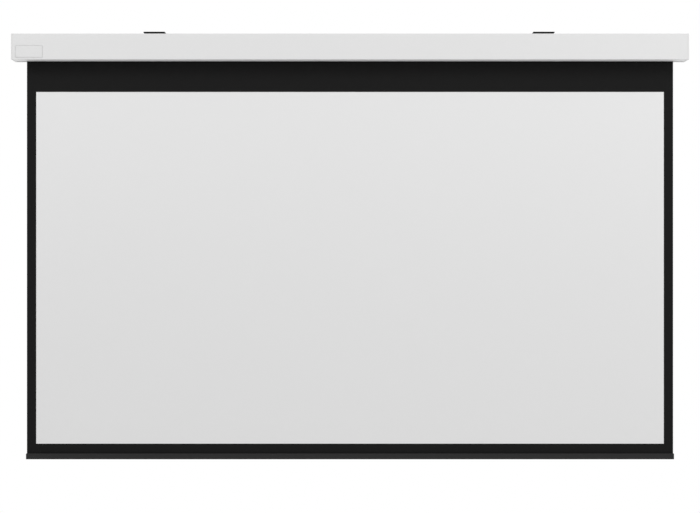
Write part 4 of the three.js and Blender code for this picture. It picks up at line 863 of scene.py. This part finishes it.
def grow_rim(bm: bmesh.types.BMesh, rim: list[bmesh.types.BMEdge]
             ) -> tuple[list[bmesh.types.BMVert], list[bmesh.types.BMEdge]]:
    """Extrudes a row of open edges, where it stands.

    Args:
        bm: The mesh.
        rim: The open edges.

    Returns:
        The vertices and the edges of the new row.
    """
    grown = bmesh.ops.extrude_edge_only(bm, edges=rim)["geom"]
    return of_kind(grown, bmesh.types.BMVert), of_kind(grown, bmesh.types.BMEdge)


def give_thickness(bm: bmesh.types.BMesh, move: Vector) -> None:
    """Turns a flat open mesh into a closed one: its faces stay, and a copy of them moves away."""
    grown = bmesh.ops.extrude_face_region(bm, geom=bm.faces[:])["geom"]
    bmesh.ops.translate(bm, vec=move, verts=of_kind(grown, bmesh.types.BMVert))


def inset_border(bm: bmesh.types.BMesh, faces: list[bmesh.types.BMFace], width: float) -> None:
    """Leaves a border of one width round faces, which stay in the list and get smaller."""
    bmesh.ops.inset_region(bm, faces=faces, thickness=width, use_even_offset=True)
    bm.normal_update()


def add_cloth_uv(bm: bmesh.types.BMesh, place: Callable[[Vector], tuple[float, float]]) -> None:
    """Gives a cloth its UV map in metres.

    Args:
        bm: The cloth's mesh.
        place: Turns a point of the mesh into its place on the flat cloth.
    """
    layer = bm.loops.layers.uv.new(CLOTH_UV)
    for face in bm.faces:
        for loop in face.loops:
            loop[layer].uv = place(loop.vert.co)


@dataclass
class Maker:
    """Turns finished meshes into pieces that ride on the frame's bodies."""

    palette: Palette
    made: list[str] = field(default_factory=list)

    def enter(self, made: bpy.types.Object, body: Body, nodes: tuple[str, ...]) -> None:
        """Puts a piece into the scene and on its body, and reports it.

        Args:
            made: The piece.
            body: The body that it rides on.
            nodes: CAD nodes that it stands for, if any.
        """
        bpy.context.scene.collection.objects.link(made)
        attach(made, body.value)
        if nodes:
            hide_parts(*nodes)
        self.made.append(made.name)
        log.info("%s: on %s, for %s", made.name, body.value, ", ".join(nodes) or "no node of its own")

    def piece(self, bm: bmesh.types.BMesh, name: str, body: Body, slot: Slot, *nodes: str,
              second: Slot | Accent | None = None, rigid: bool = True) -> bpy.types.Object:
        """Makes one piece.

        Args:
            bm: Its mesh, in place. It is freed.
            name: Name of the piece.
            body: The body that it rides on.
            slot: The slot of its finish.
            *nodes: CAD nodes that it stands for.
            second: Finish of the faces whose material index is 1.
            rigid: Whether large faces pull the shading flat, as on a moulded or folded piece.

        Returns:
            The piece.
        """
        bmesh.ops.remove_doubles(bm, verts=bm.verts[:], dist=MERGE_DISTANCE)
        bmesh.ops.recalc_face_normals(bm, faces=bm.faces[:])
        mesh = bpy.data.meshes.new(name)
        bm.to_mesh(mesh)
        bm.free()
        mesh.materials.append(self.palette.of(slot))
        if second is not None:
            mesh.materials.append(self.palette.of(second))
        mesh.shade_smooth()
        mesh.set_sharp_from_angle(angle=SMOOTH_ANGLE)
        made = bpy.data.objects.new(name, mesh)
        if rigid:
            level = made.modifiers.new("flat_faces_stay_flat", "WEIGHTED_NORMAL")
            level.keep_sharp = True
            level.weight = 80
        self.enter(made, body, nodes)
        return made

    def lead(self, name: str, body: Body, slot: Slot, node: str, radius: float,
             points: tuple[Vector, Vector, Vector, Vector]) -> bpy.types.Object:
        """Makes a round lead along one cubic curve.

        Args:
            name: Name of the piece.
            body: The body that it rides on.
            slot: The slot of its finish.
            node: CAD node that it stands for.
            radius: Radius of the lead.
            points: Start, the two handles and end of the curve.

        Returns:
            The lead, a curve object.
        """
        start, leave, arrive, end = points
        curve = bpy.data.curves.new(name, "CURVE")
        curve.dimensions = "3D"
        curve.resolution_u = 32
        curve.bevel_depth = radius
        curve.bevel_resolution = 6
        curve.use_fill_caps = True
        spline = curve.splines.new("BEZIER")
        spline.bezier_points.add(1)
        for knot, place, before, after in ((0, start, start, leave), (1, end, arrive, end)):
            point = spline.bezier_points[knot]
            point.handle_left_type = "FREE"
            point.handle_right_type = "FREE"
            point.co = place
            point.handle_left = before
            point.handle_right = after
        curve.materials.append(self.palette.of(slot))
        made = bpy.data.objects.new(name, curve)
        self.enter(made, body, (node,))
        return made

    def eased(self, node: str, ending: str, body: Body, slot: Slot, edge: float) -> bpy.types.Object:
        """Makes a piece that is a CAD node with its sharp edges rounded.

        Args:
            node: Name of the CAD node.
            ending: What the piece's name has after the node's.
            body: The body that it rides on.
            slot: The slot of its finish.
            edge: Radius of the rounding.

        Returns:
            The piece.
        """
        return self.piece(eased_copy(node, edge), f"{node}_{ending}", body, slot, node)


# Sub-assemblies


@dataclass
class Cloth:
    """The white sheet, its black film, the wraps that stay on the roller and the hem's loop."""

    thickness: float = 0.45 * MM
    picture_width: float = 2400 * MM
    back_share: float = 0.4
    columns: int = 48
    rows: int = 30
    film_columns: int = 12
    film_rows: int = 10
    wrap_steps: int = 96
    wrap_turns: int = 2
    wrap_pitch: float = 0.9 * MM
    hem_steps: int = 28
    hem_opening: float = math.radians(24)
    keep: float = 0.0225

    def build(self, maker: Maker) -> None:
        """Makes the four pieces and gives the sheet and the film meshes of their own.

        Args:
            maker: Turns the meshes into pieces.
        """
        sheet = self.sheet(maker)
        border = self.border(maker)
        self.wraps(maker)
        self.hem(maker)
        for cloth in (sheet, border):
            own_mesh(cloth)

    def sheet(self, maker: Maker) -> bpy.types.Object:
        """Makes the hanging sheet, white in front and black behind.

        Args:
            maker: Turns the mesh into a piece.

        Returns:
            The sheet.
        """
        low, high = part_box("screen_sheet")
        bm = upright_grid(low, high, self.columns, self.rows)
        give_thickness(bm, Y_AXIS * (low.y - high.y))
        back = (low.y + high.y) / 2 + self.back_share * self.thickness
        for face in bm.faces:
            face.material_index = 1 if face.calc_center_median().y > back else 0
        add_cloth_uv(bm, lambda point: (point.x, point.z))
        return maker.piece(bm, "hanging_sheet", Body.CASE, Slot.SHEET, "screen_sheet",
                           second=Slot.BORDER, rigid=False)

    def border(self, maker: Maker) -> bpy.types.Object:
        """Makes the black film round the picture, cut from one rectangle.

        Args:
            maker: Turns the mesh into a piece.

        Returns:
            The film.
        """
        low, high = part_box("black_border")
        bm = upright_grid(low, high, self.film_columns, self.film_rows)
        left, right, floor, top = self.window()
        for offset, axis in ((left, X_AXIS), (right, X_AXIS), (floor, Z_AXIS), (top, Z_AXIS)):
            everything = bm.verts[:] + bm.edges[:] + bm.faces[:]
            bmesh.ops.bisect_plane(bm, geom=everything, plane_co=axis * offset, plane_no=axis)
        opening = faces_where(bm, lambda face: left < face.calc_center_median().x < right
                              and floor < face.calc_center_median().z < top)
        bmesh.ops.delete(bm, geom=opening, context="FACES")
        give_thickness(bm, Y_AXIS * (low.y - high.y))
        add_cloth_uv(bm, lambda point: (point.x, point.z))
        return maker.piece(bm, "border_film", Body.CASE, Slot.BORDER, "black_border", rigid=False)

    def window(self) -> tuple[float, float, float, float]:
        """Finds the picture's opening in the CAD film.

        Returns:
            Its left, right, bottom and top.
        """
        half = self.picture_width / 2
        low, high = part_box("black_border")
        middle = (low.z + high.z) / 2
        heights = [vertex.co.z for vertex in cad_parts["black_border"].data.vertices
                   if abs(abs(vertex.co.x) - half) < MM]
        bottom = min(height for height in heights if height < middle)
        top = max(height for height in heights if height > middle)
        return -half, half, bottom, top

    def wraps(self, maker: Maker) -> bpy.types.Object:
        """Makes the strip that stays wound on the tube, its back outwards.

        Args:
            maker: Turns the mesh into a piece.

        Returns:
            The strip.
        """
        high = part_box("sheet_wraps")[1]
        axis = middle_of("roller_tube")
        outer = high.y - axis.y - self.thickness / 2
        half = high.x
        bm = bmesh.new()
        ends = [bm.verts.new((side * half, axis.y + outer, axis.z)) for side in (-1, 1)]
        rim = [bm.edges.new(ends)]
        step = math.tau / self.wrap_steps
        radius = outer
        length = 0.0
        places = [(0.0, ends)]
        turn = Matrix.Rotation(step, 3, "X")
        for _ in range(1, self.wrap_steps * self.wrap_turns):
            verts, rim = grow_rim(bm, rim)
            bmesh.ops.rotate(bm, verts=verts, cent=axis, matrix=turn)
            smaller = radius - self.wrap_pitch / self.wrap_steps
            share = smaller / radius
            bmesh.ops.scale(bm, verts=verts, vec=(1, share, share), space=Matrix.Translation(-axis))
            length += step * radius
            radius = smaller
            places.append((length, verts))
        bm.verts.index_update()
        uv_length = {vert.index: place for place, verts in places for vert in verts}
        layer = bm.loops.layers.uv.new(CLOTH_UV)
        for face in bm.faces:
            for loop in face.loops:
                loop[layer].uv = (loop.vert.co.x, uv_length[loop.vert.index])
        bmesh.ops.recalc_face_normals(bm, faces=bm.faces[:])
        bmesh.ops.solidify(bm, geom=bm.faces[:], thickness=self.thickness)
        piece = maker.piece(bm, "wound_sheet", Body.ROLLER, Slot.BORDER, "sheet_wraps")
        return piece

    def hem(self, maker: Maker) -> bpy.types.Object:
        """Makes the loop of the hem round its rod.

        Args:
            maker: Turns the mesh into a piece.

        Returns:
            The loop.
        """
        low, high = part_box("hem_loop")
        axis = middle_of("hem_rod")
        radius = (high.y - low.y) / 2 - self.thickness / 2
        round_rod = math.tau - 2 * self.hem_opening
        bm = bmesh.new()
        start = Vector((0, radius * math.sin(self.hem_opening), radius * math.cos(self.hem_opening)))
        ends = [bm.verts.new((side * high.x, axis.y + start.y, axis.z + start.z)) for side in (-1, 1)]
        edge = bm.edges.new(ends)
        bmesh.ops.spin(bm, geom=[edge, *ends], cent=axis, axis=X_AXIS, angle=-round_rod,
                       steps=self.hem_steps, use_merge=False)
        bmesh.ops.recalc_face_normals(bm, faces=bm.faces[:])
        bmesh.ops.solidify(bm, geom=bm.faces[:], thickness=self.thickness)
        add_cloth_uv(bm, lambda point: (point.x, math.atan2(point.y - axis.y, point.z - axis.z) * radius))
        piece = maker.piece(bm, "hem_sleeve", Body.BAR, Slot.BORDER, "hem_loop")
        return piece


@dataclass(frozen=True)
class Screw:
    """One screw: a head with a recess for its driver, and a shank."""

    head: HeadKind
    head_radius: float
    shank_radius: float
    length: float
    crown: float = 0.8 * MM
    shoulder_share: float = 0.3
    head_height: float = 2.2 * MM
    land: float = 0.2 * MM
    sides: int = 24
    recess_reach: float = 0.62
    recess_half: float = 0.17
    recess_depth: float = 0.45
    recess_taper: float = 0.7

    def mesh(self, top: Vector, outwards: Vector) -> bmesh.types.BMesh:
        """Models the screw in place.

        Args:
            top: Middle of the head's outer face.
            outwards: Direction that the head looks in.

        Returns:
            The screw's mesh.
        """
        bm = bmesh.new()
        pan = self.head is HeadKind.PAN
        face_radius = self.head_radius - self.crown if pan else self.head_radius
        bmesh.ops.create_circle(bm, cap_ends=True, radius=face_radius, segments=self.sides)
        rim = [edge for edge in bm.edges if edge.is_boundary]
        for radius, depth in self.profile():
            verts, rim = grow_rim(bm, rim)
            share = radius / verts[0].co.to_2d().length
            bmesh.ops.scale(bm, verts=verts, vec=(share, share, 1))
            bmesh.ops.translate(bm, verts=verts, vec=(0, 0, -depth - verts[0].co.z))
        bmesh.ops.contextual_create(bm, geom=rim)
        self.recess(bm, face_radius)
        turn = outwards.to_track_quat("Z", "Y").to_matrix().to_4x4()
        bmesh.ops.transform(bm, matrix=Matrix.Translation(top) @ turn, verts=bm.verts[:])
        return bm

    def profile(self) -> list[tuple[float, float]]:
        """Lists the steps of the screw's outline, from the head's rim down to the tip.

        Returns:
            Radius and depth of each step.
        """
        tip = self.shank_radius / 2
        if self.head is HeadKind.PAN:
            shoulder = self.shoulder_share * self.crown
            head = [(self.head_radius - shoulder, shoulder), (self.head_radius, self.crown),
                    (self.head_radius, self.head_height), (self.shank_radius, self.head_height)]
            end = self.length + self.head_height
        else:
            head = [(self.head_radius, self.land), (self.shank_radius, self.head_radius - self.shank_radius)]
            end = self.length
        return [*head, (self.shank_radius, end - tip), (tip, end)]

    def recess(self, bm: bmesh.types.BMesh, face_radius: float) -> None:
        """Sinks the driver's cross into the head.

        Args:
            bm: The screw's mesh, its head at the origin and looking up.
            face_radius: Radius of the head's flat.
        """
        reach = self.recess_reach * face_radius
        half = self.recess_half * face_radius

        def on_top(face: bmesh.types.BMFace) -> bool:
            """Whether a face is part of the head's flat."""
            return abs(face.calc_center_median().z) < MERGE_DISTANCE

        def in_cross(face: bmesh.types.BMFace) -> bool:
            """Whether a face of the flat lies in one of the cross's arms."""
            narrow, wide = sorted(abs(value) for value in face.calc_center_median().to_2d())
            return on_top(face) and narrow < half and wide < reach

        for offset in (-reach, -half, half, reach):
            for axis in (X_AXIS, Y_AXIS):
                bmesh.ops.bisect_plane(bm, geom=with_rims(faces_where(bm, on_top)),
                                       plane_co=axis * offset, plane_no=axis)
        inwards = Z_AXIS * (-self.recess_depth * face_radius)
        pushed_region(bm, faces_where(bm, in_cross), inwards, self.recess_taper)

    def fitted(self, maker: Maker, node: str, outwards: Vector, body: Body, slot: Slot) -> bpy.types.Object:
        """Makes the screw in the place of a CAD node.

        Args:
            maker: Turns the mesh into a piece.
            node: Name of the CAD node.
            outwards: Direction along an axis that the head looks in.
            body: The body that it rides on.
            slot: The slot of its finish.

        Returns:
            The screw.
        """
        low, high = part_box(node)
        top = (low + high) / 2
        for axis, way in enumerate(outwards):
            if way:
                top[axis] = high[axis] if way > 0 else low[axis]
        return maker.piece(self.mesh(top, outwards), f"{node}_cross", body, slot, node)


@dataclass
class Case:
    """The extruded case, its end caps and their screws, and the raised bare plate."""

    shell_edge: float = 0.25 * MM
    cap_edge: float = 0.35 * MM
    cap_screw: Screw = Screw(HeadKind.COUNTERSUNK, head_radius=3 * MM, shank_radius=1.6 * MM, length=20 * MM)
    cap_screws: int = 4
    plate_corner: float = 4 * MM
    plate_corner_steps: int = 6
    plate_edge: float = 0.3 * MM
    painted_groove_shade_inset: float = 0.5 * MM
    painted_groove_shade_width: float = 1.6 * MM
    painted_groove_shade_depth: float = 1.1 * MM

    def build(self, maker: Maker) -> None:
        """Makes the case's outer pieces.

        Args:
            maker: Turns the meshes into pieces.
        """
        shell = eased_copy("case_shell", self.shell_edge)
        maker.piece(shell, "case_profile", Body.CASE, Slot.CASE, "case_shell")
        for side in Side:
            self.cap(maker, side)
        self.plate(maker)

    def cap(self, maker: Maker, side: Side) -> None:
        """Makes one end cap and its countersunk screws.

        Args:
            maker: Turns the meshes into pieces.
            side: The case's end that the cap closes.
        """
        node = f"{side.label}_end_cap"
        maker.piece(eased_copy(node, self.cap_edge), f"{side.label}_cap_moulding", Body.CASE, Slot.CAP, node)
        for index in range(1, self.cap_screws + 1):
            self.cap_screw.fitted(maker, f"{side.label}_cap_screw_{index}", X_AXIS * side.value,
                                  Body.CASE, Slot.ZINC)

    def plate(self, maker: Maker) -> None:
        """Makes the raised plate, with a fine groove round its face, its floor painted darker as shade.

        Args:
            maker: Turns the meshes into pieces.
        """
        low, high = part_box("front_plate")
        bm = bmesh.new()
        block(bm, low, high)
        bevel(bm, edges_along(bm, Y_AXIS), self.plate_corner, self.plate_corner_steps)
        outward = -Y_AXIS
        front = faces_towards(bm, outward)
        inset_border(bm, front, self.painted_groove_shade_inset)
        floor = pushed_region(bm, front, -outward * self.painted_groove_shade_depth)
        inset_border(bm, floor, self.painted_groove_shade_width)
        pushed_region(bm, floor, outward * self.painted_groove_shade_depth)
        floor_y = low.y + self.painted_groove_shade_depth
        # The groove's floor takes the darker finish: painted shade.
        for face in faces_towards(bm, outward):
            in_shaded_groove = abs(face.calc_center_median().y - floor_y) < MERGE_DISTANCE
            face.material_index = 1 if in_shaded_groove else 0
        bevel(bm, rim_edges(bm, outward), self.plate_edge, EDGE_STEPS)
        maker.piece(bm, "raised_plate", Body.CASE, Slot.PLATE, "front_plate", second=Accent.PAINTED_GROOVE_SHADE)


@dataclass
class PowerInlet:
    """The socket in the left cap: a moulded housing and three plated contacts."""

    rim_thickness: float = 1.6 * MM
    rim: float = 2 * MM
    corner: float = 3 * MM
    corner_steps: int = 5
    wall: float = 1.6 * MM
    socket_corner: float = 2.2 * MM
    edge: float = 0.25 * MM
    socket_depth: float = 17 * MM
    contact_size: tuple[float, float, float] = (11.5 * MM, 2 * MM, 4 * MM)
    contact_spacing: float = 7 * MM
    contact_step: float = 4 * MM
    contact_tip: float = 0.5 * MM
    contact_gap: float = 0.05 * MM

    def build(self, maker: Maker) -> None:
        """Makes the housing and the contacts, the middle one higher than the others.

        Args:
            maker: Turns the meshes into pieces.
        """
        low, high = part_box("power_inlet")
        middle = (low + high) / 2
        maker.piece(self.housing(low, high), "inlet_housing", Body.CASE, Slot.PLASTIC, "power_inlet")
        floor = low.x + self.socket_depth
        length, width, height = self.contact_size
        pins = bmesh.new()
        for place in (-1, 0, 1):
            y = middle.y + place * self.contact_spacing
            z = middle.z + (self.contact_step / 2 if place == 0 else -self.contact_step / 2)
            start = Vector((floor - length, y - width / 2, z - height / 2))
            end = Vector((floor - self.contact_gap, y + width / 2, z + height / 2))
            block(pins, start, end)
        bevel(pins, rim_edges(pins, -X_AXIS), self.contact_tip, EDGE_STEPS)
        maker.piece(pins, "inlet_contacts", Body.CASE, Slot.ZINC)

    def housing(self, low: Vector, high: Vector) -> bmesh.types.BMesh:
        """Models the rim on the cap, the body behind it and the socket sunk into both.

        Args:
            low: Lowest corner of the inlet.
            high: Highest corner of the inlet.

        Returns:
            The housing's mesh.
        """
        bm = bmesh.new()
        rim_back = low.x + self.rim_thickness
        block(bm, low, Vector((rim_back, high.y, high.z)))
        bevel(bm, edges_along(bm, X_AXIS), self.corner, self.corner_steps)
        front = faces_towards(bm, -X_AXIS)
        back = faces_towards(bm, X_AXIS)
        middle = (low + high) / 2
        mouth = self.narrowed(bm, front, middle, self.rim + self.wall, self.socket_corner)
        pushed_region(bm, mouth, X_AXIS * self.socket_depth)
        root = self.narrowed(bm, back, middle, self.rim, self.corner)
        pushed_region(bm, root, X_AXIS * (high.x - rim_back))
        bevel(bm, rim_edges(bm, -X_AXIS), self.edge, EDGE_STEPS)
        return bm

    def narrowed(self, bm: bmesh.types.BMesh, faces: list[bmesh.types.BMFace], middle: Vector, inset: float,
                 corner: float) -> list[bmesh.types.BMFace]:
        """Leaves a border round a rounded face and gives what is inside it its own corner radius.

        Args:
            bm: The mesh.
            faces: The face, whose corners have the rim's radius.
            middle: Its middle.
            inset: Width of the border at the sides.
            corner: Corner radius inside it.

        Returns:
            The face inside the border.
        """
        inner = pushed_region(bm, faces, Vector())
        verts = {vert for face in inner for vert in face.verts}
        half_y = max(abs(vert.co.y - middle.y) for vert in verts)
        half_z = max(abs(vert.co.z - middle.z) for vert in verts)
        share = corner / self.corner
        shift = self.corner - corner - inset
        for y_sign in (-1, 1):
            for z_sign in (-1, 1):
                quarter = [vert for vert in verts
                           if (vert.co.y - middle.y) * y_sign > 0 and (vert.co.z - middle.z) * z_sign > 0]
                centre = Vector((0, middle.y + y_sign * (half_y - self.corner),
                                 middle.z + z_sign * (half_z - self.corner)))
                bmesh.ops.scale(bm, verts=quarter, vec=(1, share, share), space=Matrix.Translation(-centre))
                bmesh.ops.translate(bm, verts=quarter, vec=(0, y_sign * shift, z_sign * shift))
        bm.normal_update()
        return inner


@dataclass
class InnerLeads:
    """The two leads that meet in the receiver: one from the inlet, one from the motor's head."""

    inlet_radius: float = 3 * MM
    motor_radius: float = 2.5 * MM
    motor_exit: float = 14 * MM
    motor_angle: float = math.radians(-105)
    handle_share: float = 0.35
    end_gap: float = 0.3 * MM
    inlet_entry: float = -7 * MM
    motor_entry: float = 14 * MM

    def build(self, maker: Maker) -> None:
        """Makes both leads.

        Args:
            maker: Turns the meshes into pieces.
        """
        box_low, box_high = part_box("receiver_box")
        lid_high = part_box("receiver_lid")[1]
        entry = Vector((box_low.x - self.end_gap, (box_low.y + box_high.y) / 2, (box_low.z + lid_high.z) / 2))
        start = middle_of("power_inlet")
        start.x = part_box("power_inlet")[1].x + self.end_gap
        end = entry + Y_AXIS * self.inlet_entry
        maker.lead("inlet_cable", Body.CASE, Slot.PLASTIC, "inlet_lead", self.inlet_radius,
                   self.route(start, X_AXIS, end))
        direction = Vector((0, math.cos(self.motor_angle), math.sin(self.motor_angle)))
        start = middle_of("motor_tube")
        start.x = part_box("motor_bracket")[1].x + self.motor_exit
        start += direction * (self.head_radius() + self.end_gap)
        end = entry + Y_AXIS * self.motor_entry
        maker.lead("motor_cable", Body.CASE, Slot.PLASTIC, "motor_lead", self.motor_radius,
                   self.route(start, direction, end))

    @staticmethod
    def head_radius() -> float:
        """Measures the motor's head behind its flange.

        Returns:
            Its radius there.
        """
        axis = middle_of("motor_tube")
        middle = middle_of("motor_head")
        rear = [vertex.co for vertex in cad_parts["motor_head"].data.vertices
                if vertex.co.x > middle.x]
        return max(math.hypot(point.y - axis.y, point.z - axis.z) for point in rear)

    def route(self, start: Vector, direction: Vector, end: Vector) -> tuple[Vector, Vector, Vector, Vector]:
        """The four points of a curve that leaves along a direction and arrives along X."""
        handle = (end.x - start.x) * self.handle_share
        return start, start + direction * handle, end - X_AXIS * handle, end


@dataclass
class Works:
    """What the case hides: receiver, motor, idler end and roller."""

    edge: float = 0.2 * MM
    parts: tuple[tuple[Body, Slot, tuple[str, ...]], ...] = (
        (Body.CASE, Slot.PLASTIC, ("receiver_box", "receiver_lid", "motor_head")),
        (Body.CASE, Slot.BOARD, ("receiver_board",)),
        (Body.CASE, Slot.ZINC, ("motor_bracket", "motor_tube", "idler_bracket")),
        (Body.CASE, Slot.STEEL, ("idler_pin",)),
        (Body.ROLLER, Slot.STEEL, ("output_shaft",)),
        (Body.ROLLER, Slot.NYLON, ("limit_crown", "drive_wheel", "idler_plug", "clamping_strip")),
        (Body.ROLLER, Slot.BRONZE, ("idler_bush",)),
        (Body.ROLLER, Slot.ALUMINIUM, ("roller_tube",)),
        (Body.UP_LIMIT, Slot.LIMIT_WHITE, ("up_limit_screw",)),
        (Body.DOWN_LIMIT, Slot.LIMIT_YELLOW, ("down_limit_screw",)),
    )
    plate_screw: Screw = Screw(HeadKind.PAN, head_radius=3.6 * MM, shank_radius=1.6 * MM, length=7.5 * MM)
    plate_screws: int = 2

    def build(self, maker: Maker) -> None:
        """Makes the inner parts and the screws that hold the carrier plates.

        Args:
            maker: Turns the meshes into pieces.
        """
        for body, slot, nodes in self.parts:
            for node in nodes:
                maker.eased(node, "finished", body, slot, self.edge)
        for side in Side:
            for index in range(1, self.plate_screws + 1):
                self.plate_screw.fitted(maker, f"{side.label}_plate_screw_{index}", X_AXIS * -side.value,
                                        Body.CASE, Slot.ZINC)


@dataclass
class BottomBar:
    """The weighted bar: profile, hem rod, weight and end caps."""

    edge: float = 0.2 * MM
    cap_edge: float = 0.4 * MM

    def build(self, maker: Maker) -> None:
        """Makes the bar's pieces.

        Args:
            maker: Turns the meshes into pieces.
        """
        maker.piece(eased_copy("bar_profile", self.edge), "bar_extrusion", Body.BAR, Slot.BAR, "bar_profile")
        for side in Side:
            maker.eased(f"{side.label}_bar_cap", "moulding", Body.BAR, Slot.PLASTIC, self.cap_edge)
        maker.eased("hem_rod", "finished", Body.BAR, Slot.NYLON, self.edge)
        maker.eased("weight_rod", "finished", Body.BAR, Slot.STEEL, self.edge)


@dataclass
class HangingBracket:
    """One folded bracket with its two sliding nuts and clamp screws."""

    side: Side
    edge: float = 0.3 * MM
    nut_edge: float = 0.2 * MM
    clamp_screw: Screw = Screw(HeadKind.COUNTERSUNK, head_radius=4.5 * MM, shank_radius=2.4 * MM,
                               length=13.5 * MM)

    def build(self, maker: Maker) -> None:
        """Makes the plate, the nuts and the screws.

        Args:
            maker: Turns the meshes into pieces.
        """
        label = self.side.label
        body = Body.LEFT_BRACKET if self.side is Side.LEFT else Body.RIGHT_BRACKET
        maker.eased(f"{label}_bracket", "plate", body, Slot.BRACKET, self.edge)
        for track in Track:
            maker.eased(f"{label}_{track.value}_nut", "finished", body, Slot.ZINC_BLACK, self.nut_edge)
            self.clamp_screw.fitted(maker, f"{label}_{track.value}_clamp_screw", Z_AXIS, body,
                                    Slot.ZINC_BLACK)


# Studio


@dataclass
class Lamp:
    """One soft rectangular lamp that looks at a point."""

    name: str
    place: tuple[float, float, float]
    aim: tuple[float, float, float]
    width: float
    height: float
    watts: float

    def build(self) -> bpy.types.Object:
        """Adds the lamp to the scene, unseen by the camera, because two stand beside the object.

        Returns:
            The lamp.
        """
        data = bpy.data.lights.new(self.name, "AREA")
        data.shape = "RECTANGLE"
        data.size = self.width
        data.size_y = self.height
        data.energy = self.watts
        lamp = bpy.data.objects.new(self.name, data)
        lamp.location = self.place
        towards = Vector(self.aim) - Vector(self.place)
        lamp.rotation_euler = towards.to_track_quat("-Z", "Y").to_euler()
        lamp.visible_camera = False
        bpy.context.scene.collection.objects.link(lamp)
        return lamp


@dataclass
class Studio:
    """Camera, lamps, pale floor and white surroundings."""

    camera_place: tuple[float, float, float] = (0.0, -6.785, -0.8524)
    focal_pixels: float = 1766.35
    frame_width: int = 700
    sensor_width: float = 36.0
    view_depth: float = 100.0
    floor_height: float = -2.45
    floor_radius: float = 3.2
    floor_sides: int = 96
    floor_colour: Colour = grey(247)
    fade_start: float = 1.5
    ambient: float = 0.602
    lamps: tuple[Lamp, ...] = (
        Lamp("top_strip", (0.0, -2.2, 1.5), (0.0, 0.0, -0.5), 7.0, 1.0, 34.2),
        Lamp("top_fill", (0.0, -3.0, 1.5), (0.0, 0.0, -0.5), 6.0, 1.5, 5.5),
        Lamp("right_window", (4.5, -3.5, -0.2), (0.0, 0.0, -0.8), 2.0, 3.0, 20.3),
        Lamp("right_top", (2.8, -2.0, 1.2), (0.6, 0.0, -0.4), 1.5, 1.5, 11.5),
        Lamp("left_top", (-3.2, -2.4, 1.2), (0.0, 0.0, -0.4), 2.0, 1.5, 16.2),
        Lamp("left_low", (-3.6, -0.12, -1.9), (0.0, -0.08, -0.1), 0.12, 0.5, 20.0),
        Lamp("right_low", (3.6, -0.12, -1.9), (0.0, -0.08, -0.1), 0.12, 0.5, 16.5),
    )

    def camera(self) -> bpy.types.Object:
        """Adds the camera at the photograph's viewpoint, level and looking along +Y.

        Returns:
            The camera.
        """
        data = bpy.data.cameras.new("viewpoint")
        data.sensor_width = self.sensor_width
        data.lens = self.focal_pixels / self.frame_width * self.sensor_width
        data.clip_end = self.view_depth
        camera = bpy.data.objects.new("viewpoint", data)
        camera.location = self.camera_place
        camera.rotation_euler = (QUARTER_TURN, 0.0, 0.0)
        bpy.context.scene.collection.objects.link(camera)
        bpy.context.scene.camera = camera
        return camera

    def surroundings(self) -> None:
        """Makes a world that is white to the camera and in reflections, and a plain level elsewhere."""
        world = bpy.data.worlds.new("surroundings")
        bpy.context.scene.world = world
        world.use_nodes = True
        wiring = Wiring(world.node_tree)
        path = wiring.node("ShaderNodeLightPath")
        seen = wiring.math("MAXIMUM", path.outputs["Is Camera Ray"], path.outputs["Is Glossy Ray"])
        white = wiring.math("MAXIMUM", seen, path.outputs["Is Transmission Ray"])
        strength = wiring.math("ADD", wiring.math("MULTIPLY", white, 1.0 - self.ambient), self.ambient)
        background = wiring.node("ShaderNodeBackground", {"Color": (1.0, 1.0, 1.0, 1.0)})
        output = wiring.node("ShaderNodeOutputWorld")
        wiring.join(strength, background.inputs["Strength"])
        wiring.join(background.outputs["Background"], output.inputs["Surface"])

    def floor(self) -> bpy.types.Object:
        """Adds a pale round floor that keeps the object's shadow and fades out at its rim.

        Returns:
            The floor.
        """
        bm = bmesh.new()
        bmesh.ops.create_circle(bm, cap_ends=True, radius=self.floor_radius, segments=self.floor_sides,
                                matrix=Matrix.Translation((0, 0, self.floor_height)))
        mesh = bpy.data.meshes.new("floor")
        bm.to_mesh(mesh)
        bm.free()
        floor = bpy.data.objects.new("floor", mesh)
        bpy.context.scene.collection.objects.link(floor)
        material = bpy.data.materials.new("pale_floor")
        material.use_nodes = True
        wiring = Wiring(material.node_tree)
        place = wiring.node("ShaderNodeTexCoord").outputs["Object"]
        flat = wiring.node("ShaderNodeVectorMath", operation="MULTIPLY")
        flat.inputs[1].default_value = (1.0, 1.0, 0.0)
        reach = wiring.node("ShaderNodeVectorMath", operation="LENGTH")
        fade = wiring.node("ShaderNodeMapRange",
                           {"From Min": self.fade_start, "From Max": self.floor_radius})
        fade.interpolation_type = "SMOOTHSTEP"
        wiring.join(place, flat.inputs[0])
        wiring.join(flat.outputs["Vector"], reach.inputs[0])
        wiring.join(reach.outputs["Value"], fade.inputs["Value"])
        ground = wiring.node("ShaderNodeBsdfDiffuse", {"Color": self.floor_colour})
        clear = wiring.node("ShaderNodeBsdfTransparent")
        mix = wiring.node("ShaderNodeMixShader")
        output = wiring.node("ShaderNodeOutputMaterial")
        wiring.join(fade.outputs["Result"], mix.inputs[0])
        wiring.join(ground.outputs["BSDF"], mix.inputs[1])
        wiring.join(clear.outputs["BSDF"], mix.inputs[2])
        wiring.join(mix.outputs["Shader"], output.inputs["Surface"])
        mesh.materials.append(material)
        return floor

    def build(self) -> None:
        """Sets up the whole studio."""
        scene = bpy.context.scene
        self.camera()
        self.surroundings()
        self.floor()
        for lamp in self.lamps:
            lamp.build()
        scene.view_settings.view_transform = "Standard"
        scene.use_nodes = False
        log.info("studio: camera, %d lamps and a floor", len(self.lamps))


def main() -> None:
    """Builds the studio, then each sub-assembly in the order in which it is put together."""
    logging.basicConfig(level=logging.INFO, format="%(name)s: %(message)s")
    Studio().build()
    maker = Maker(Palette())
    Case().build(maker)
    PowerInlet().build(maker)
    Works().build(maker)
    InnerLeads().build(maker)
    Cloth().build(maker)
    BottomBar().build(maker)
    for side in Side:
        HangingBracket(side).build(maker)
    log.info("%d new pieces", len(maker.made))


if __name__ == "__main__":
    main()
